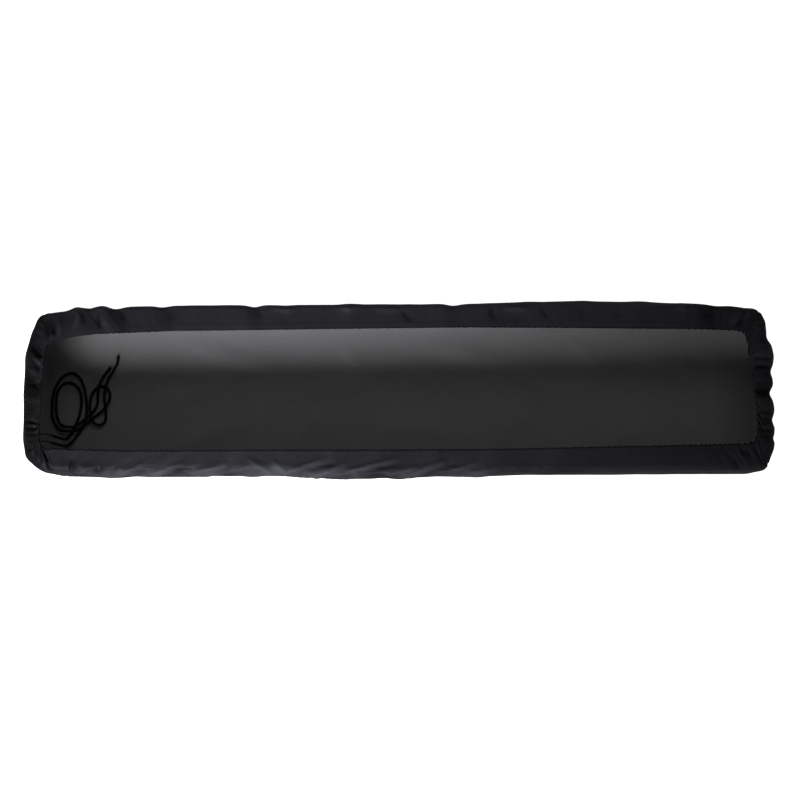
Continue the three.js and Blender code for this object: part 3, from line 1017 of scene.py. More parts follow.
@dataclass(frozen=True)
class PaintedClothShading:
    """How pale the cloth's outer face is painted from place to place, as painted light and shade.

    A fold that stood out by the whole depth would be painted a whole tone paler than plain cloth,
    and a hollow darker, as painted highlight and painted shade. The hem's rolled edge has painted
    shade. The back's rim has painted light, round a part of its bend that is given in half turns,
    but not at its right end.
    """

    plain: float = 0.5
    whole: float = 9 * MM
    edge: float = 0.5
    on_edge: Ramp = Ramp(0.9, 1.0)
    painted_rim_light: float = 0.7
    painted_rim_light_start: Ramp = Ramp(0.5, 0.56)
    painted_rim_light_end: Ramp = Ramp(0.82, 0.96)
    on_back: Ramp = Ramp(0.7, 0.95)
    painted_rim_light_right: Ramp = Ramp(0.42, 0.58)

    def tones(self, rows: Rows, columns: Columns, points: Array, push: Array) -> Array:
        """Works out the tones, which are painted light and shade.

        Args:
            rows: The cloth's rows.
            columns: Its columns.
            points: Where each row and column is.
            push: How far each row and column is pushed out.

        Returns:
            The tone of each row and column, where 0 is the darkest colour and 1 the palest.
        """
        # Painted shade, or painted light where an amount is below 0, at the listed stretches of cloth.
        shade = np.zeros(push.shape)
        for stretch in PAINTED_SHADES:
            away = (points[..., :2] / MM - stretch.middle) / stretch.spread
            shade += stretch.amount * bump(np.linalg.norm(away, axis=-1), 1)
        # Painted shade on the hem's rolled edge.
        shade = shade + self.edge * self.on_edge(rows.reach)
        # Painted light on the back's rim, which faces away from the lights.
        on_rim = self.painted_rim_light_start(rows.turn / math.pi) * self.painted_rim_light_end.fall(rows.turn / math.pi)
        on_back = self.on_back(columns.out @ Side.BACK.facing) * self.painted_rim_light_right.fall(columns.wall[:, 0])
        # Folds painted paler and hollows painted darker by their push, as painted highlight and shade.
        return self.plain + push / self.whole - shade + self.painted_rim_light * on_rim * on_back


@dataclass(frozen=True)
class TopPanel:
    """The middle of the top panel, which lies flat but for its soft creases and slow swells.

    It is smooth in the box where the drawstring lies, and the creases come back past the box's
    edges. It leaves a margin to the long walls, which are those that squarely face front or back.
    """

    facets: tuple[int, int] = (132, 24)
    half_length: float = 612 * MM
    margin: float = 36 * MM
    facing: float = 0.8
    blunt: float = 0.7
    swell: float = 0.9 * MM
    smooth_box: tuple[Place, Place] = ((-0.665, -0.11), (-0.505, 0.09))
    box_right: Ramp = Ramp(-0.03, 0.0)
    box_edge: Ramp = Ramp(-0.02, 0.0)
    plain: float = 0.5
    whole: float = 36 * MM

    def build(self, bm: BMesh, uv: Any, painted_shading: Any, columns: Columns) -> tuple[list, list]:
        """Makes the panel from a grid.

        Args:
            bm: The mesh that is being made.
            uv: Its layer of cloth coordinates.
            painted_shading: Its layer of tones.
            columns: The cloth's columns.

        Returns:
            The panel's faces, and the vertices round its border in order.
        """
        nx, ny = self.facets
        before = set(bm.faces)
        made = bmesh.ops.create_grid(bm, x_segments=nx, y_segments=ny, size=1.0)
        verts = np.array(made["verts"], dtype=object).reshape(ny + 1, nx + 1)
        x = np.linspace(-self.half_length, self.half_length, nx + 1)
        low, high = (self._wall(x, columns, side) for side in (Side.FRONT, Side.BACK))
        share = np.linspace(0, 1, ny + 1)[:, None]
        y = (low + self.margin) * (1 - share) + (high - self.margin) * share
        plan = np.stack([np.broadcast_to(x, y.shape), y], axis=-1)
        rise = self._rise(plan)
        for index, vert in np.ndenumerate(verts):
            vert.co = (*plan[index], rise[index])
            # Painted highlight: the panel is painted paler where its creases rise.
            vert[painted_shading] = self.plain + rise[index] / self.whole
        faces = [face for face in bm.faces if face not in before]
        lay_map(faces, uv, lambda vert: vert.co.xy)
        return faces, [*verts[0, :-1], *verts[:-1, -1], *verts[-1, :0:-1], *verts[:0:-1, 0]]

    def _wall(self, x: Array, columns: Columns, side: Side) -> Array:
        """Finds the front or back wall at places along the cover.

        Args:
            x: The places.
            columns: The cloth's columns.
            side: The front or the back.

        Returns:
            Where the wall is there, from front to back.
        """
        wall = columns.wall[columns.out @ side.facing > self.facing]
        ordered = wall[np.argsort(wall[:, 0])]
        return np.interp(x, ordered[:, 0], ordered[:, 1])

    def _rise(self, plan: Array) -> Array:
        """Works out how far the panel's soft creases lift it off what it lies on.

        Args:
            plan: Where each row and column is, seen from above.

        Returns:
            How high each row and column is.
        """
        rise = np.zeros(plan.shape[:2])
        for crease in PANEL_CREASES:
            share, across = crease.measure(plan / MM)
            rise += np.sin(math.pi * share) ** self.blunt * crease.depth * MM * bump(across, crease.width)
        level = np.concatenate([plan, np.zeros((*plan.shape[:2], 1))], axis=-1)
        rise += np.maximum(self.swell * Wander.PANEL.at(level), 0)
        (left, front), (right, back) = self.smooth_box
        x, y = plan[..., 0], plan[..., 1]
        inside = self.box_right(right - x) * self.box_edge(back - y)
        inside *= self.box_edge(x - left) * self.box_edge(y - front)
        border = np.zeros(rise.shape)
        border[1:-1, 1:-1] = 1
        return rise * (1 - inside) * border


@dataclass
class CoverCloth:
    """The cover's one piece of stretch cloth: top panel, walls, band and hem.

    Attributes:
        outline: Its outline seen from above.
        section: Its section.
        gathers: The gathers of its hem.
        tone: How pale its outer face is painted, as painted light and shade.
        panel: The middle of its top panel.
        foot: How far it has turned from lying flat where the folds fade in, in radians.
        swell: How high its slow unevenness is.
        thickness: How thick the cloth is.
        flat: The size that the cloth was cut from.
        flat_area: The flat area of the cut, with its corners taken out.
        hem_slot: The slot of the hem's finish, which is the outer face's on both sides.
    """

    outline: Outline = Outline()
    section: CoverSection = CoverSection()
    gathers: HemGathers = HemGathers()
    tone: PaintedClothShading = PaintedClothShading()
    panel: TopPanel = TopPanel()
    foot: Ramp = Ramp(math.pi / 6, math.pi / 2)
    swell: float = 0.5 * MM
    thickness: float = 1.1 * MM
    flat: Place = (0.68, 1.71)
    flat_area: float = 1.03
    hem_slot: int = 2

    def __post_init__(self) -> None:
        """Works out the columns, the rows and the folded surface."""
        self.columns = self.outline.columns()
        self.rows = self.section.rows()
        self.points, self.push = self._surface()

    def build(self) -> Object:
        """Makes the cloth as one sheet, with its thickness as a modifier.

        Returns:
            The cloth's object.
        """
        bm = bmesh.new()
        uv = bm.loops.layers.uv.new("cloth")
        painted_shading = bm.verts.layers.float.new("painted_shading")
        foot = self._wall_strip(bm, uv, painted_shading)
        panel, border = self.panel.build(bm, uv, painted_shading, self.columns)
        self._join(bm, uv, foot, border)
        bmesh.ops.reverse_faces(bm, faces=panel)
        cloth = shaped("cover_cloth", bm)
        solid = cloth.modifiers.new("cloth_thickness", "SOLIDIFY")
        solid.thickness = self.thickness
        solid.offset = -1
        solid.use_even_offset = False
        solid.material_offset = 1
        return cloth

    def dress(self, cloth: Object, face: Material, back: Material) -> None:
        """Gives the cloth its two faces, attaches it to the root body, and hides the cover's solid.

        Args:
            cloth: The cloth's object.
            face: The finish of its outer face.
            back: The finish of its inner face.
        """
        for finish in (face, back, face, face):
            cloth.data.materials.append(finish)
        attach(cloth, "root")
        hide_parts("cover")

    def stitch_line(self) -> Array:
        """The points of the casing's sewing line, all round the hem."""
        return self.points[np.argmin(np.abs(self.rows.reach - self.section.casing_start))]

    def _surface(self) -> tuple[Array, Array]:
        """Works out the folded outer face.

        Returns:
            Where each row and column is, and how far it is pushed out.
        """
        rows, columns = self.rows, self.columns
        inset, height = self.section.tightened(rows, columns.rim)
        rim = columns.wall - columns.out * inset[..., None]
        plan = rim + (columns.hem - rim) * rows.reach[..., None] + columns.inward * rows.past[..., None]
        plan = plan + columns.inward * self.gathers.scallops(rows, columns)[..., None]
        rest = np.concatenate([plan, height[..., None]], axis=-1)
        push = MainFolds().push(rows, columns, plan) + DragFolds().push(rows, columns, plan)
        push = push + self.gathers.push(rows, columns) + CornerSeams(self.gathers).push(rows, columns)
        push = push * self.foot(rows.turn)
        push = push + self.swell * Wander.SURFACE.at(rest) * self.foot(rows.turn)
        offset = rows.lift + push
        flat = plan + columns.out * (np.sin(rows.turn) * offset)[..., None]
        level = height - np.cos(rows.turn) * offset
        return np.concatenate([flat, level[..., None]], axis=-1), push

    def _wall_strip(self, bm: BMesh, uv: Any, painted_shading: Any) -> list:
        """Makes the walls, band and hem from a grid that is closed round the cover.

        Args:
            bm: The mesh that is being made.
            uv: Its layer of cloth coordinates.
            painted_shading: Its layer of tones.

        Returns:
            The vertices at the foot, in order.
        """
        verts = rolled(bm, self.points)
        tones = self.tone.tones(self.rows, self.columns, self.points, self.push)
        around = np.append(self.columns.along, self.columns.length)
        way = run(self.points.mean(axis=1))
        places = {}
        for (r, c), vert in np.ndenumerate(verts):
            # The painted light and shade of each point of the walls, band and hem.
            vert[painted_shading] = tones[r, c % tones.shape[1]]
            places[vert] = (around[c], way[r])
        lay_map(bm.faces, uv, places.get)
        hemmed = set(verts[self.rows.reach[:, 0] >= self.section.casing_start].flat)
        for face in bm.faces:
            face.material_index = self.hem_slot if hemmed.issuperset(face.verts) else 0
        weld(bm, verts)
        return list(verts[0, :-1])

    @staticmethod
    def _join(bm: BMesh, uv: Any, foot: list, border: list) -> None:
        """Fills the strip between the walls' foot and the panel's middle with triangles that face down.

        Args:
            bm: The mesh that is being made.
            uv: Its layer of cloth coordinates.
            foot: The vertices at the walls' foot, anticlockwise.
            border: The vertices round the panel's middle, anticlockwise.
        """
        start = min(range(len(foot)), key=lambda i: (foot[i].co - border[0].co).length)
        outer = foot[start:] + foot[:start] + [foot[start]]
        inner = [*border, border[0]]
        i = j = 0
        while i + 1 < len(outer) or j + 1 < len(inner):
            onward = (outer[i + 1].co - inner[j].co).length if i + 1 < len(outer) else math.inf
            inward = (outer[i].co - inner[j + 1].co).length if j + 1 < len(inner) else math.inf
            if onward <= inward:
                corners = (outer[i + 1], outer[i], inner[j])
                i += 1
            else:
                corners = (outer[i], inner[j], inner[j + 1])
                j += 1
            lay_map([bm.faces.new(corners)], uv, lambda vert: vert.co.xy)


@dataclass(frozen=True)
class Strand:
    """One strand of the drawstring that comes out of the hem.

    Attributes:
        name: The strand's name.
        node: The solid that it stands for.
        route: The points that it follows, in millimetres.
    """

    name: str
    node: str
    route: Sequence[Point]


@dataclass(frozen=True)
class Drawstring:
    """The two ends of the drawstring, loosely knotted on the inside of the top panel.

    The cord lies with a clearance on the cloth, and crosses itself with a gap. Its melted tips are
    swollen and rounded off. The hem's height is in millimetres, as the routes are.
    """

    diameter: float = 5 * MM
    sides: int = 18
    step: float = 1.5 * MM
    cloth: float = 1.1 * MM
    clearance: float = 0.4 * MM
    crossing_gap: float = 2 * MM
    second_gap: float = 1.5 * MM
    hem_height: float = 141.6
    tip: float = 8 * MM
    tip_swell: float = 0.14
    melted: float = 0.6
    swollen: float = 0.5
    round_end: float = 0.45
    least_end: float = 0.04
    shares: int = 24

    def strands(self) -> tuple[Strand, Strand]:
        """Lists the two strands, with the heights of their turns set from the cord's own size.

        Returns:
            The inner strand and the outer one.
        """
        hem = self.hem_height
        laid = (self.cloth + self.diameter / 2 + self.clearance) / MM
        over = laid + (self.diameter + self.crossing_gap) / MM
        well_over = over + self.second_gap / MM
        partway = (laid + over) / 2
        inner = Strand("drawstring_inner_strand", "drawstring_inner", (
            (-640.4, -82, hem), (-633, -82, hem - 0.5), (-625, -82.5, hem - 6), (-621, -83, hem - 20),
            (-620, -83, 95), (-620, -83, 55), (-619.5, -82.5, 25), (-617, -78.5, 11), (-611.5, -69.5, laid),
            (-603.5, -53, laid), (-597, -34, laid), (-594, -13, laid), (-596, 6, laid), (-605, 20, laid),
            (-618, 25, laid), (-631, 20, laid), (-639, 7, laid), (-641, -10, laid), (-641, -28, laid),
            (-637, -45, laid), (-629, -55, partway), (-618, -58.5, over), (-607, -58, over),
            (-596, -52.5, over), (-586.5, -44, over), (-577, -35, laid), (-569, -26, laid),
            (-564, -13, laid), (-563, 2, partway), (-561, 17, over), (-556, 31, partway),
            (-549, 43, laid), (-540, 54, laid),
        ))
        outer = Strand("drawstring_outer_strand", "drawstring_outer", (
            (-640.2, -95, hem), (-632, -95.5, hem - 0.5), (-623, -96, hem - 6), (-618, -96.5, hem - 20),
            (-617, -96.5, 95), (-617, -96.5, 55), (-616, -95, 27), (-612.5, -90, 13),
            (-605, -79.5, laid + 1), (-594, -64, laid), (-587, -48, laid), (-584, -30, laid),
            (-585, -10, laid), (-589, 14, laid), (-598, 34, laid), (-612, 43, laid), (-627, 38, laid),
            (-640, 22, laid), (-647, 2, laid), (-649, -20, laid), (-647, -42, laid), (-639, -58, laid),
            (-628, -65.5, over), (-616, -66.5, well_over), (-603, -65, over), (-591, -58.5, over),
            (-580, -49, partway), (-569, -39, laid), (-559, -32, partway + 1), (-549, -23, over),
            (-542, -10, partway + 1), (-541, 5, laid), (-548, 16, laid), (-559, 18, laid), (-569, 12, laid),
            (-575, 0, partway), (-577, -14, over), (-576, -29, well_over), (-573, -43, well_over),
            (-566, -53, over), (-556, -54, partway), (-549, -46, laid), (-548, -32, laid),
            (-550, -17, laid), (-551, -1, partway), (-548, 17, over), (-543, 33, partway),
            (-535, 48, laid), (-528, 62, laid), (-527, 76, laid),
        ))
        return inner, outer

    def build(self, strand: Strand) -> tuple[Object, Array]:
        """Makes a strand as a round tube along its route, with a melted tip.

        Args:
            strand: The strand.

        Returns:
            Its object, and the points down its middle.
        """
        path = self._spaced(self._smooth(np.array(strand.route) * MM))
        along = run(path)
        melted = Ramp(along[-1] - self.tip, along[-1] - self.tip * self.melted)(along)
        across, beside = self._frames(path)
        angle = np.linspace(0, 2 * math.pi, self.sides, endpoint=False)[:, None]
        spokes = across[:, None] * np.cos(angle) + beside[:, None] * np.sin(angle)
        bm = bmesh.new()
        uv = bm.loops.layers.uv.new("cord")
        tip = bm.verts.layers.float.new("tip")
        verts = rolled(bm, path[:, None] + spokes * self._radii(along)[:, None, None])
        places = {}
        for (r, c), vert in np.ndenumerate(verts):
            vert[tip] = melted[r]
            places[vert] = (c / self.sides, along[r])
        lay_map(bm.faces, uv, places.get)
        weld(bm, verts)
        cap(bm, verts)
        return shaped(strand.name, bm), path

    def dress(self, cord: Object, strand: Strand, path: Array, finish: Material) -> None:
        """Gives a strand its finish, attaches it to the root body, and hides the solid that it stands for.

        Args:
            cord: The strand's object.
            strand: The strand.
            path: The points down its middle. Not used.
            finish: Its finish.
        """
        cord.data.materials.append(finish)
        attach(cord, "root")
        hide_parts(strand.node)

    def _radii(self, along: Array) -> Array:
        """Works out the cord's radius along its length, with a swollen and rounded tip.

        Args:
            along: How far along the cord each ring is.

        Returns:
            The radius of each ring.
        """
        left = along[-1] - along
        swell = 1 + self.tip_swell * Ramp(-self.tip, -self.tip * self.swollen)(-left)
        short = 1 - np.clip(left / (self.diameter * self.round_end), 0, 1)
        return self.diameter / 2 * swell * np.sqrt(np.clip(1 - short**2, self.least_end, 1))

    def _smooth(self, points: Array) -> Array:
        """Draws a smooth line through points that neither swings wide nor cuts its bends.

        Args:
            points: The points.

        Returns:
            The line's close points.
        """
        padded = np.vstack([2 * points[0] - points[1], points, 2 * points[-1] - points[-2]])
        gaps = steps(padded) ** 0.5
        u = np.linspace(0, 1, self.shares, endpoint=False)[:, None]
        pieces = []
        for k in range(1, len(padded) - 2):
            p0, p1, p2, p3 = padded[k - 1 : k + 3]
            d0, d1, d2 = gaps[k - 1 : k + 2]
            t1 = ((p1 - p0) / d0 - (p2 - p0) / (d0 + d1) + (p2 - p1) / d1) * d1
            t2 = ((p2 - p1) / d1 - (p3 - p1) / (d1 + d2) + (p3 - p2) / d2) * d1
            bend = (3 * (p2 - p1) - 2 * t1 - t2) * u**2
            pieces.append(p1 + t1 * u + bend + (2 * (p1 - p2) + t1 + t2) * u**3)
        return np.vstack([*pieces, points[-1:]])

    def _spaced(self, line: Array) -> Array:
        """A line again, with its points evenly spaced."""
        along = run(line)
        return picked(np.linspace(0, along[-1], round(along[-1] / self.step) + 1), along, line)

    @staticmethod
    def _frames(path: Array) -> tuple[Array, Array]:
        """Finds two directions across the path at each of its points, which don't twist about it.

        Args:
            path: The points down the cord's middle.

        Returns:
            The two directions at each point.
        """
        ahead = unit(np.gradient(path, axis=0))
        spoke = np.cross(ahead[0], UP)
        across = []
        for way in ahead:
            spoke = unit(spoke - way * (spoke @ way))
            across.append(spoke)
        return np.array(across), np.cross(ahead, np.array(across))


@dataclass(frozen=True)
class HemStitching:
    """The row of stitches that closes the drawstring's casing.

    A stitch rises over the cloth, and its ends are sunk into it, by shares of the thread's diameter.
    """

    stitch: float = 3.2 * MM
    gap: float = 1.1 * MM
    thread: float = 0.55 * MM
    rise: float = 0.75
    sunk: float = 0.35
    least_end: float = 0.15
    sides: int = 5
    rings: int = 5

    def build(self, line: Array) -> Object:
        """Makes every stitch along the sewing line, from one long rolled grid that is cut between them.

        Args:
            line: The closed sewing line on the cloth's outer face.

        Returns:
            The stitches' object.
        """
        along = run(closed(line))
        count = int(along[-1] / (self.stitch + self.gap))
        starts = np.arange(count) / count * along[-1]
        share = np.linspace(0, 1, self.rings)
        arch = np.sin(math.pi * share)
        middle = picked(starts[:, None] + share * self.stitch, along, closed(line))
        middle[..., 2] += self.thread * (self.rise * arch - self.sunk)
        ahead = unit(np.gradient(middle, axis=1))
        beside = unit(np.cross(ahead, UP))[:, :, None]
        over = np.cross(beside, ahead[:, :, None])
        angle = np.linspace(0, 2 * math.pi, self.sides, endpoint=False)[:, None]
        radius = self.thread / 2 * np.sqrt(np.clip(arch, self.least_end, 1))
        spokes = (beside * np.cos(angle) + over * np.sin(angle)) * radius[:, None, None]
        bm = bmesh.new()
        verts = rolled(bm, (middle[:, :, None] + spokes).reshape(-1, self.sides, 3))
        stitch_of = {vert: r // self.rings for (r, _), vert in np.ndenumerate(verts)}
        between = [face for face in bm.faces if len({stitch_of[vert] for vert in face.verts}) > 1]
        bmesh.ops.delete(bm, geom=between, context="FACES")
        weld(bm, verts)
        cap(bm, *np.split(verts, count))
        return shaped("hem_stitching", bm)

    def dress(self, stitches: Object, finish: Material) -> None:
        """Gives the stitches their finish and lets them ride on the cover.

        Args:
            stitches: The stitches' object.
            finish: Their finish.
        """
        stitches.data.materials.append(finish)
        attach(stitches, "root")


class Wire:
    """A shader socket that arithmetic can be done with. Each operation adds a Math node."""

    def __init__(self, bench: Bench, socket: bpy.types.NodeSocket) -> None:
        """Holds a socket of a bench's tree."""
        self.bench = bench
        self.socket = socket

    def math(self, operation: str, *terms: Any) -> Wire:
        """A Math node's result, from terms that are wires or numbers."""
        return self.bench.node("ShaderNodeMath", {"operation": operation}, dict(enumerate(terms)))

    def __add__(self, other: Any) -> Wire:
        """This plus another."""
        return self.math("ADD", self, other)

    def __radd__(self, other: Any) -> Wire:
        """Another plus this."""
        return self.math("ADD", other, self)

    def __sub__(self, other: Any) -> Wire:
        """This less another."""
        return self.math("SUBTRACT", self, other)

    def __rsub__(self, other: Any) -> Wire:
        """Another less this."""
        return self.math("SUBTRACT", other, self)

    def __mul__(self, other: Any) -> Wire:
        """This times another."""
        return self.math("MULTIPLY", self, other)

    def __rmul__(self, other: Any) -> Wire:
        """Another times this."""
        return self.math("MULTIPLY", other, self)

    def sine(self) -> Wire:
        """The sine of this angle."""
        return self.math("SINE", self)

    def ridges(self) -> Wire:
        """The sine of this angle without its sign: round ridges, from 0 to 1."""
        return self.math("ABSOLUTE", self.sine())


@dataclass(frozen=True)
class Grain:
    """A noise on a piece's own place: its swells in a metre, and its finer layers."""

    scale: float
    detail: float


@dataclass(frozen=True)
class Relief:
    """A fine relief of a finish: its depth, and how much of it shows."""

    depth: float
    strength: float


class Bench:
    """A material on the bench: its node tree, and the ways to add to it."""

    # The colour sockets of a Mix node, which its other sockets share their names with.
    MIX_LOW = 6
    MIX_HIGH = 7
    MIX_RESULT = 2

    def __init__(self, name: str) -> None:
        """Starts an empty material.

        Args:
            name: The material's name.
        """
        self.material = bpy.data.materials.new(name)
        self.material.use_nodes = True
        self.tree = self.material.node_tree
        self.tree.nodes.clear()

    def node(
        self,
        kind: str,
        settings: Mapping[str, Any],
        inputs: Mapping[Any, Any],
        output: int | str | None = 0,
    ) -> Wire | None:
        """Adds a node.

        Args:
            kind: The node's type.
            settings: Its own settings, which are set first.
            inputs: The values or wires of its sockets, by name or number.
            output: The socket that is wanted from it, or None for a node that has none.

        Returns:
            That socket.
        """
        made = self.tree.nodes.new(kind)
        for name, value in settings.items():
            setattr(made, name, value)
        for name, value in inputs.items():
            socket = made.inputs[name]
            if isinstance(value, Wire):
                self.tree.links.new(value.socket, socket)
            else:
                socket.default_value = value
        return None if output is None else Wire(self, made.outputs[output])

    def own_map(self, layer: str) -> tuple[Wire, Wire]:
        """The two coordinates of a piece's own map, in metres or shares."""
        place = self.node("ShaderNodeUVMap", {"uv_map": layer}, {})
        return tuple(self.node("ShaderNodeSeparateXYZ", {}, {0: place}, axis) for axis in ("X", "Y"))

    def attribute(self, name: str) -> Wire:
        """A number that the piece's points hold."""
        return self.node("ShaderNodeAttribute", {"attribute_name": name}, {}, "Fac")

    def speckle(self, grain: Grain) -> Wire:
        """A noise on the piece's own place.

        Args:
            grain: The noise's size and detail.

        Returns:
            Its value, about 0.5 on average.
        """
        place = self.node("ShaderNodeTexCoord", {}, {}, "Object")
        inputs = {"Vector": place, "Scale": grain.scale, "Detail": grain.detail}
        return self.node("ShaderNodeTexNoise", {}, inputs, "Fac")

    def tint(self, share: Any, low: Colour, high: Colour) -> Wire:
        """A colour between two, by a share."""
        colours = {"Factor": share, self.MIX_LOW: (*low, 1.0), self.MIX_HIGH: (*high, 1.0)}
        return self.node("ShaderNodeMix", {"data_type": "RGBA"}, colours, self.MIX_RESULT)

    def bumped(self, height: Wire, relief: Relief, under: Wire | None = None) -> Wire:
        """Bumps the surface.

        Args:
            height: The relief's height, from 0 to 1.
            relief: Its depth and strength.
            under: A normal that it is added to.

        Returns:
            The normal.
        """
        inputs = {"Height": height, "Distance": relief.depth, "Strength": relief.strength}
        if under is not None:
            inputs["Normal"] = under
        return self.node("ShaderNodeBump", {}, inputs)

    def finish(self, sockets: Mapping[str, Any]) -> Material:
        """Closes the material with a principled shader.

        Args:
            sockets: The shader's values and wires.

        Returns:
            The material.
        """
        shader = self.node("ShaderNodeBsdfPrincipled", {}, sockets)
        self.node("ShaderNodeOutputMaterial", {}, {"Surface": shader}, None)
        return self.material


@dataclass(frozen=True)
class StretchFace:
    """The smooth outer face of the stretch cloth: fine ribs, a soft sheen, and painted light and shade on
    its folds.
    """

    deep: Colour = (0.0060, 0.0060, 0.0070)
    pale: Colour = (0.0388, 0.0396, 0.0468)
    roughness: float = 0.5
    rib: float = 0.8 * MM
    course: float = 0.62 * MM
    course_dip: float = 0.25
    cloud: Grain = Grain(7.0, 2.0)
    lint: Grain = Grain(900.0, 2.0)
    crumples: Grain = Grain(62.0, 3.0)
    tones: tuple[float, float, float] = (0.9, 0.35, 0.2)
    dulls: tuple[float, float] = (0.16, 0.1)
    weave: Relief = Relief(0.12 * MM, 0.35)
    crumple: Relief = Relief(1.6 * MM, 0.45)

    def material(self) -> Material:
        """Makes the finish.

        Returns:
            The material.
        """
        by_painted_shading, by_cloud, by_lint = self.tones
        lint_dull, cloud_dull = self.dulls
        bench = Bench("stretch_cloth_face")
        u, v = bench.own_map("cloth")
        ribs = (u * (math.pi / self.rib)).ridges()
        courses = (v * (2 * math.pi / self.course)).sine() * self.course_dip + (1 - self.course_dip)
        cloud = bench.speckle(self.cloud) - NOISE_MEAN
        lint = bench.speckle(self.lint) - NOISE_MEAN
        # Tone from the cloth's painted light and shade, and from its random cloud and lint.
        tone = bench.attribute("painted_shading") * by_painted_shading + cloud * by_cloud + lint * by_lint
        crumple = bench.bumped(bench.speckle(self.crumples), self.crumple)
        return bench.finish({
            "Base Color": bench.tint(tone, self.deep, self.pale),
            "Roughness": self.roughness + lint * lint_dull + cloud * cloud_dull,
            "Normal": bench.bumped(ribs * courses, self.weave, crumple),
            "Specular IOR Level": 0.06,
            "Specular Tint": (0.89, 0.90, 1.0, 1.0),
            "Sheen Weight": 0.02,
            "Sheen Roughness": 0.4,
            "Sheen Tint": (0.80, 0.83, 0.90, 1.0),
        })


@dataclass(frozen=True)
class BrushedBack:
    """The duller, slightly brushed inner face of the stretch cloth, with the same painted light and shade.
    """

    deep: Colour = (0.145, 0.146, 0.151)
    pale: Colour = (0.235, 0.236, 0.243)
    roughness: float = 0.86
    rib: float = 0.8 * MM
    cloud: Grain = Grain(9.0, 2.0)
    nap: Grain = Grain(650.0, 3.0)
    crumples: Grain = Grain(48.0, 3.0)
    tones: tuple[float, float, float] = (0.8, 0.4, 0.6)
    nap_dull: float = 0.12
    nap_height: float = 0.8
    weave: Relief = Relief(0.14 * MM, 0.4)
    crumple: Relief = Relief(1.6 * MM, 0.6)

    def material(self) -> Material:
        """Makes the finish.

        Returns:
            The material.
        """
        by_painted_shading, by_cloud, by_nap = self.tones
        bench = Bench("stretch_cloth_back")
        u, v = bench.own_map("cloth")
        loops = (u * (math.pi / self.rib)).ridges() * (v * (math.pi / self.rib)).ridges()
        cloud = bench.speckle(self.cloud) - NOISE_MEAN
        nap = bench.speckle(self.nap)
        swing = nap - NOISE_MEAN
        # Tone from the cloth's painted light and shade, and from its random cloud and nap.
        tone = bench.attribute("painted_shading") * by_painted_shading + cloud * by_cloud + swing * by_nap
        crumple = bench.bumped(bench.speckle(self.crumples), self.crumple)
        return bench.finish({
            "Base Color": bench.tint(tone, self.deep, self.pale),
            "Roughness": self.roughness + swing * self.nap_dull,
            "Normal": bench.bumped(loops + nap * self.nap_height, self.weave, crumple),
            "Specular IOR Level": 0.2,
            "Sheen Weight": 0.12,
            "Sheen Roughness": 0.6,
            "Sheen Tint": (0.85, 0.87, 0.90, 1.0),
        })


@dataclass(frozen=True)
class BraidedCord:
    """The black braided drawstring, smooth and glossier at its melted tips."""

    deep: Colour = (0.0030, 0.0030, 0.0034)
    pale: Colour = (0.0090, 0.0091, 0.0100)
    yarns: int = 8
    pitch: float = 15 * MM
    under: float = 0.9
    roughness: float = 0.6
    tip_roughness: float = 0.3
    fuzz: Grain = Grain(1100.0, 2.0)
    level: float = 0.4
    tones: tuple[float, float] = (0.8, 0.4)
    fuzz_dull: float = 0.15
    braid: Relief = Relief(0.45 * MM, 0.7)

    def material(self) -> Material:
        """Makes the finish.

        Returns:
            The material.
        """
        by_braid, by_fuzz = self.tones
        bench = Bench("drawstring_braid")
        around, along = bench.own_map("cord")
        turn = around * (self.yarns * math.pi)
        climb = along * (self.yarns * math.pi / self.pitch)
        one_way = (turn + climb).ridges()
        other_way = (turn - climb).ridges()
        braid = one_way.math("MAXIMUM", one_way * self.under, other_way)
        fuzz = bench.speckle(self.fuzz)
        plain = 1 - bench.attribute("tip")
        tone = braid * plain * by_braid + (fuzz - self.level) * by_fuzz
        dull = plain * (self.roughness - self.tip_roughness) + self.tip_roughness
        return bench.finish({
            "Base Color": bench.tint(tone, self.deep, self.pale),
            "Roughness": dull + (fuzz - NOISE_MEAN) * self.fuzz_dull,
            "Normal": bench.bumped(braid * plain, self.braid),
            "Specular IOR Level": 0.04,
        })


@dataclass(frozen=True)
class SewingThread:
    """The black sewing thread, with its fine twist."""

    deep: Colour = (0.004, 0.004, 0.0045)
    pale: Colour = (0.020, 0.020, 0.022)
    twist: Grain = Grain(2600.0, 1.0)
    roughness: float = 0.38
    twist_dull: float = 0.2

    def material(self) -> Material:
        """Makes the finish.

        Returns:
            The material.
        """
        bench = Bench("sewing_thread")
        twist = bench.speckle(self.twist)
        return bench.finish({
            "Base Color": bench.tint(twist, self.deep, self.pale),
            "Roughness": twist * self.twist_dull + self.roughness,
            "Specular IOR Level": 0.1,
        })


@dataclass(frozen=True)
class StudioPaper:
    """The plain pale paper that the cover lies on, lit a little from below."""

    deep: Colour = (0.86, 0.86, 0.86)
    pale: Colour = (0.90, 0.90, 0.90)
    cloud: Grain = Grain(1.5, 2.0)
    glow: float = 1.0

    def material(self) -> Material:
        """Makes the finish.

        Returns:
            The material.
        """
        bench = Bench("studio_paper")
        return bench.finish({
            "Base Color": bench.tint(bench.speckle(self.cloud), self.deep, self.pale),
            "Roughness": 0.9,
            "Specular IOR Level": 0.1,
            "Emission Color": (1.0, 1.0, 1.0, 1.0),
            "Emission Strength": self.glow,
        })


@dataclass(frozen=True)
class Lamp:
    """A soft studio light.

    Attributes:
        name: The light's name.
        place: Where it hangs.
        target: Where it points.
        size: Its width and height, in metres.
        power: Its power, in watts.
        beam: How widely it shines, in degrees.
    """

    name: str
    place: Point
    target: Point
    size: tuple[float, float]
    power: float
    beam: float


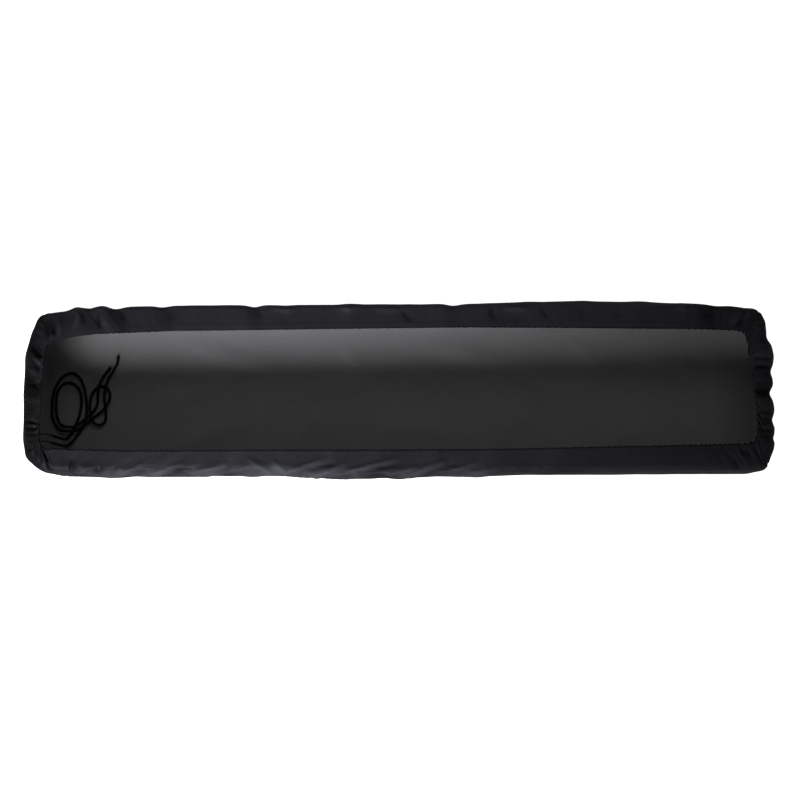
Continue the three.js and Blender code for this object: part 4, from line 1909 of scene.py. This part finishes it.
@dataclass(frozen=True)
class Studio:
    """The camera, the soft lights and the floor.

    Attributes:
        target: The point that the camera looks at, level with the hem.
        elevation: The camera's height above the horizon, in degrees.
        distance: How far the camera is from that point.
        view_width: How much the camera sees across, level with the hem.
        sensor: The width of the camera's sensor, in millimetres.
        sight: How far the camera sees.
        sky: How bright the plain surroundings are.
        floor_size: The floor's width.
        floor_level: How high the floor is.
        lamps: The soft lights.
    """

    target: Point = (0.0018, -0.0197, 0.145)
    elevation: float = 85.0
    distance: float = 3.0
    view_width: float = 1429.6 * MM
    sensor: float = 36.0
    sight: float = 100.0
    sky: float = 0.06
    floor_size: float = 80.0
    floor_level: float = -0.2 * MM
    lamps: tuple[Lamp, ...] = (
        Lamp("key_light", (-0.78, -1.5, 1.12), (-0.32, -0.05, 0.14), (0.7, 0.45), 8.0, 60.0),
        Lamp("fill_light", (0.1, 1.1, 2.0), (0.0, 0.0, 0.0), (2.2, 1.0), 6.0, 180.0),
    )

    def camera(self) -> None:
        """Sets the scene's camera at the photograph's viewing angle."""
        data = bpy.data.cameras.new("photo_camera")
        data.sensor_width = self.sensor
        data.lens = self.sensor * self.distance / self.view_width
        data.clip_end = self.sight
        angle = math.radians(self.elevation)
        back = Vector((0.0, -math.cos(angle), math.sin(angle)))
        made = stand("photo_camera", data)
        made.location = Vector(self.target) + back * self.distance
        made.rotation_euler = (-back).to_track_quat("-Z", "Y").to_euler()
        bpy.context.scene.camera = made

    def light(self) -> None:
        """Hangs the lights and sets the plain surroundings."""
        for lamp in self.lamps:
            data = bpy.data.lights.new(lamp.name, "AREA")
            data.shape = "RECTANGLE"
            data.size, data.size_y = lamp.size
            data.energy = lamp.power
            data.spread = math.radians(lamp.beam)
            made = stand(lamp.name, data)
            made.location = lamp.place
            aim = Vector(lamp.target) - Vector(lamp.place)
            made.rotation_euler = aim.to_track_quat("-Z", "Y").to_euler()
            made.visible_camera = False
        world = bpy.data.worlds.new("plain_surroundings")
        world.use_nodes = True
        sky = world.node_tree.nodes["Background"].inputs
        sky["Color"].default_value = (1.0, 1.0, 1.0, 1.0)
        sky["Strength"].default_value = self.sky
        bpy.context.scene.world = world
        bpy.context.scene.view_settings.view_transform = "Standard"

    def floor(self, finish: Material) -> None:
        """Lays the floor.

        Args:
            finish: The floor's finish.
        """
        bm = bmesh.new()
        bmesh.ops.create_grid(bm, x_segments=4, y_segments=4, size=self.floor_size / 2)
        bmesh.ops.translate(bm, verts=bm.verts, vec=(0.0, 0.0, self.floor_level))
        made = shaped("studio_floor", bm)
        made.data.materials.append(finish)
        made.visible_glossy = False


def report(piece: Object) -> None:
    """Logs a piece and its size."""
    LOG.info("%s: %d points, %d faces", piece.name, len(piece.data.vertices), len(piece.data.polygons))


def main() -> None:
    """Builds the drawstring, the cover and its stitches, and the studio round them."""
    logging.basicConfig(level=logging.INFO, format="%(name)s: %(message)s")
    studio = Studio()
    studio.camera()

    drawstring = Drawstring()
    braid = BraidedCord().material()
    for strand in drawstring.strands():
        cord, path = drawstring.build(strand)
        drawstring.dress(cord, strand, path, braid)
        report(cord)

    cover = CoverCloth()
    cloth = cover.build()
    cover.dress(cloth, StretchFace().material(), BrushedBack().material())
    report(cloth)

    stitching = HemStitching()
    stitches = stitching.build(cover.stitch_line())
    stitching.dress(stitches, SewingThread().material())
    report(stitches)

    studio.light()
    studio.floor(StudioPaper().material())


if __name__ == "__main__":
    main()
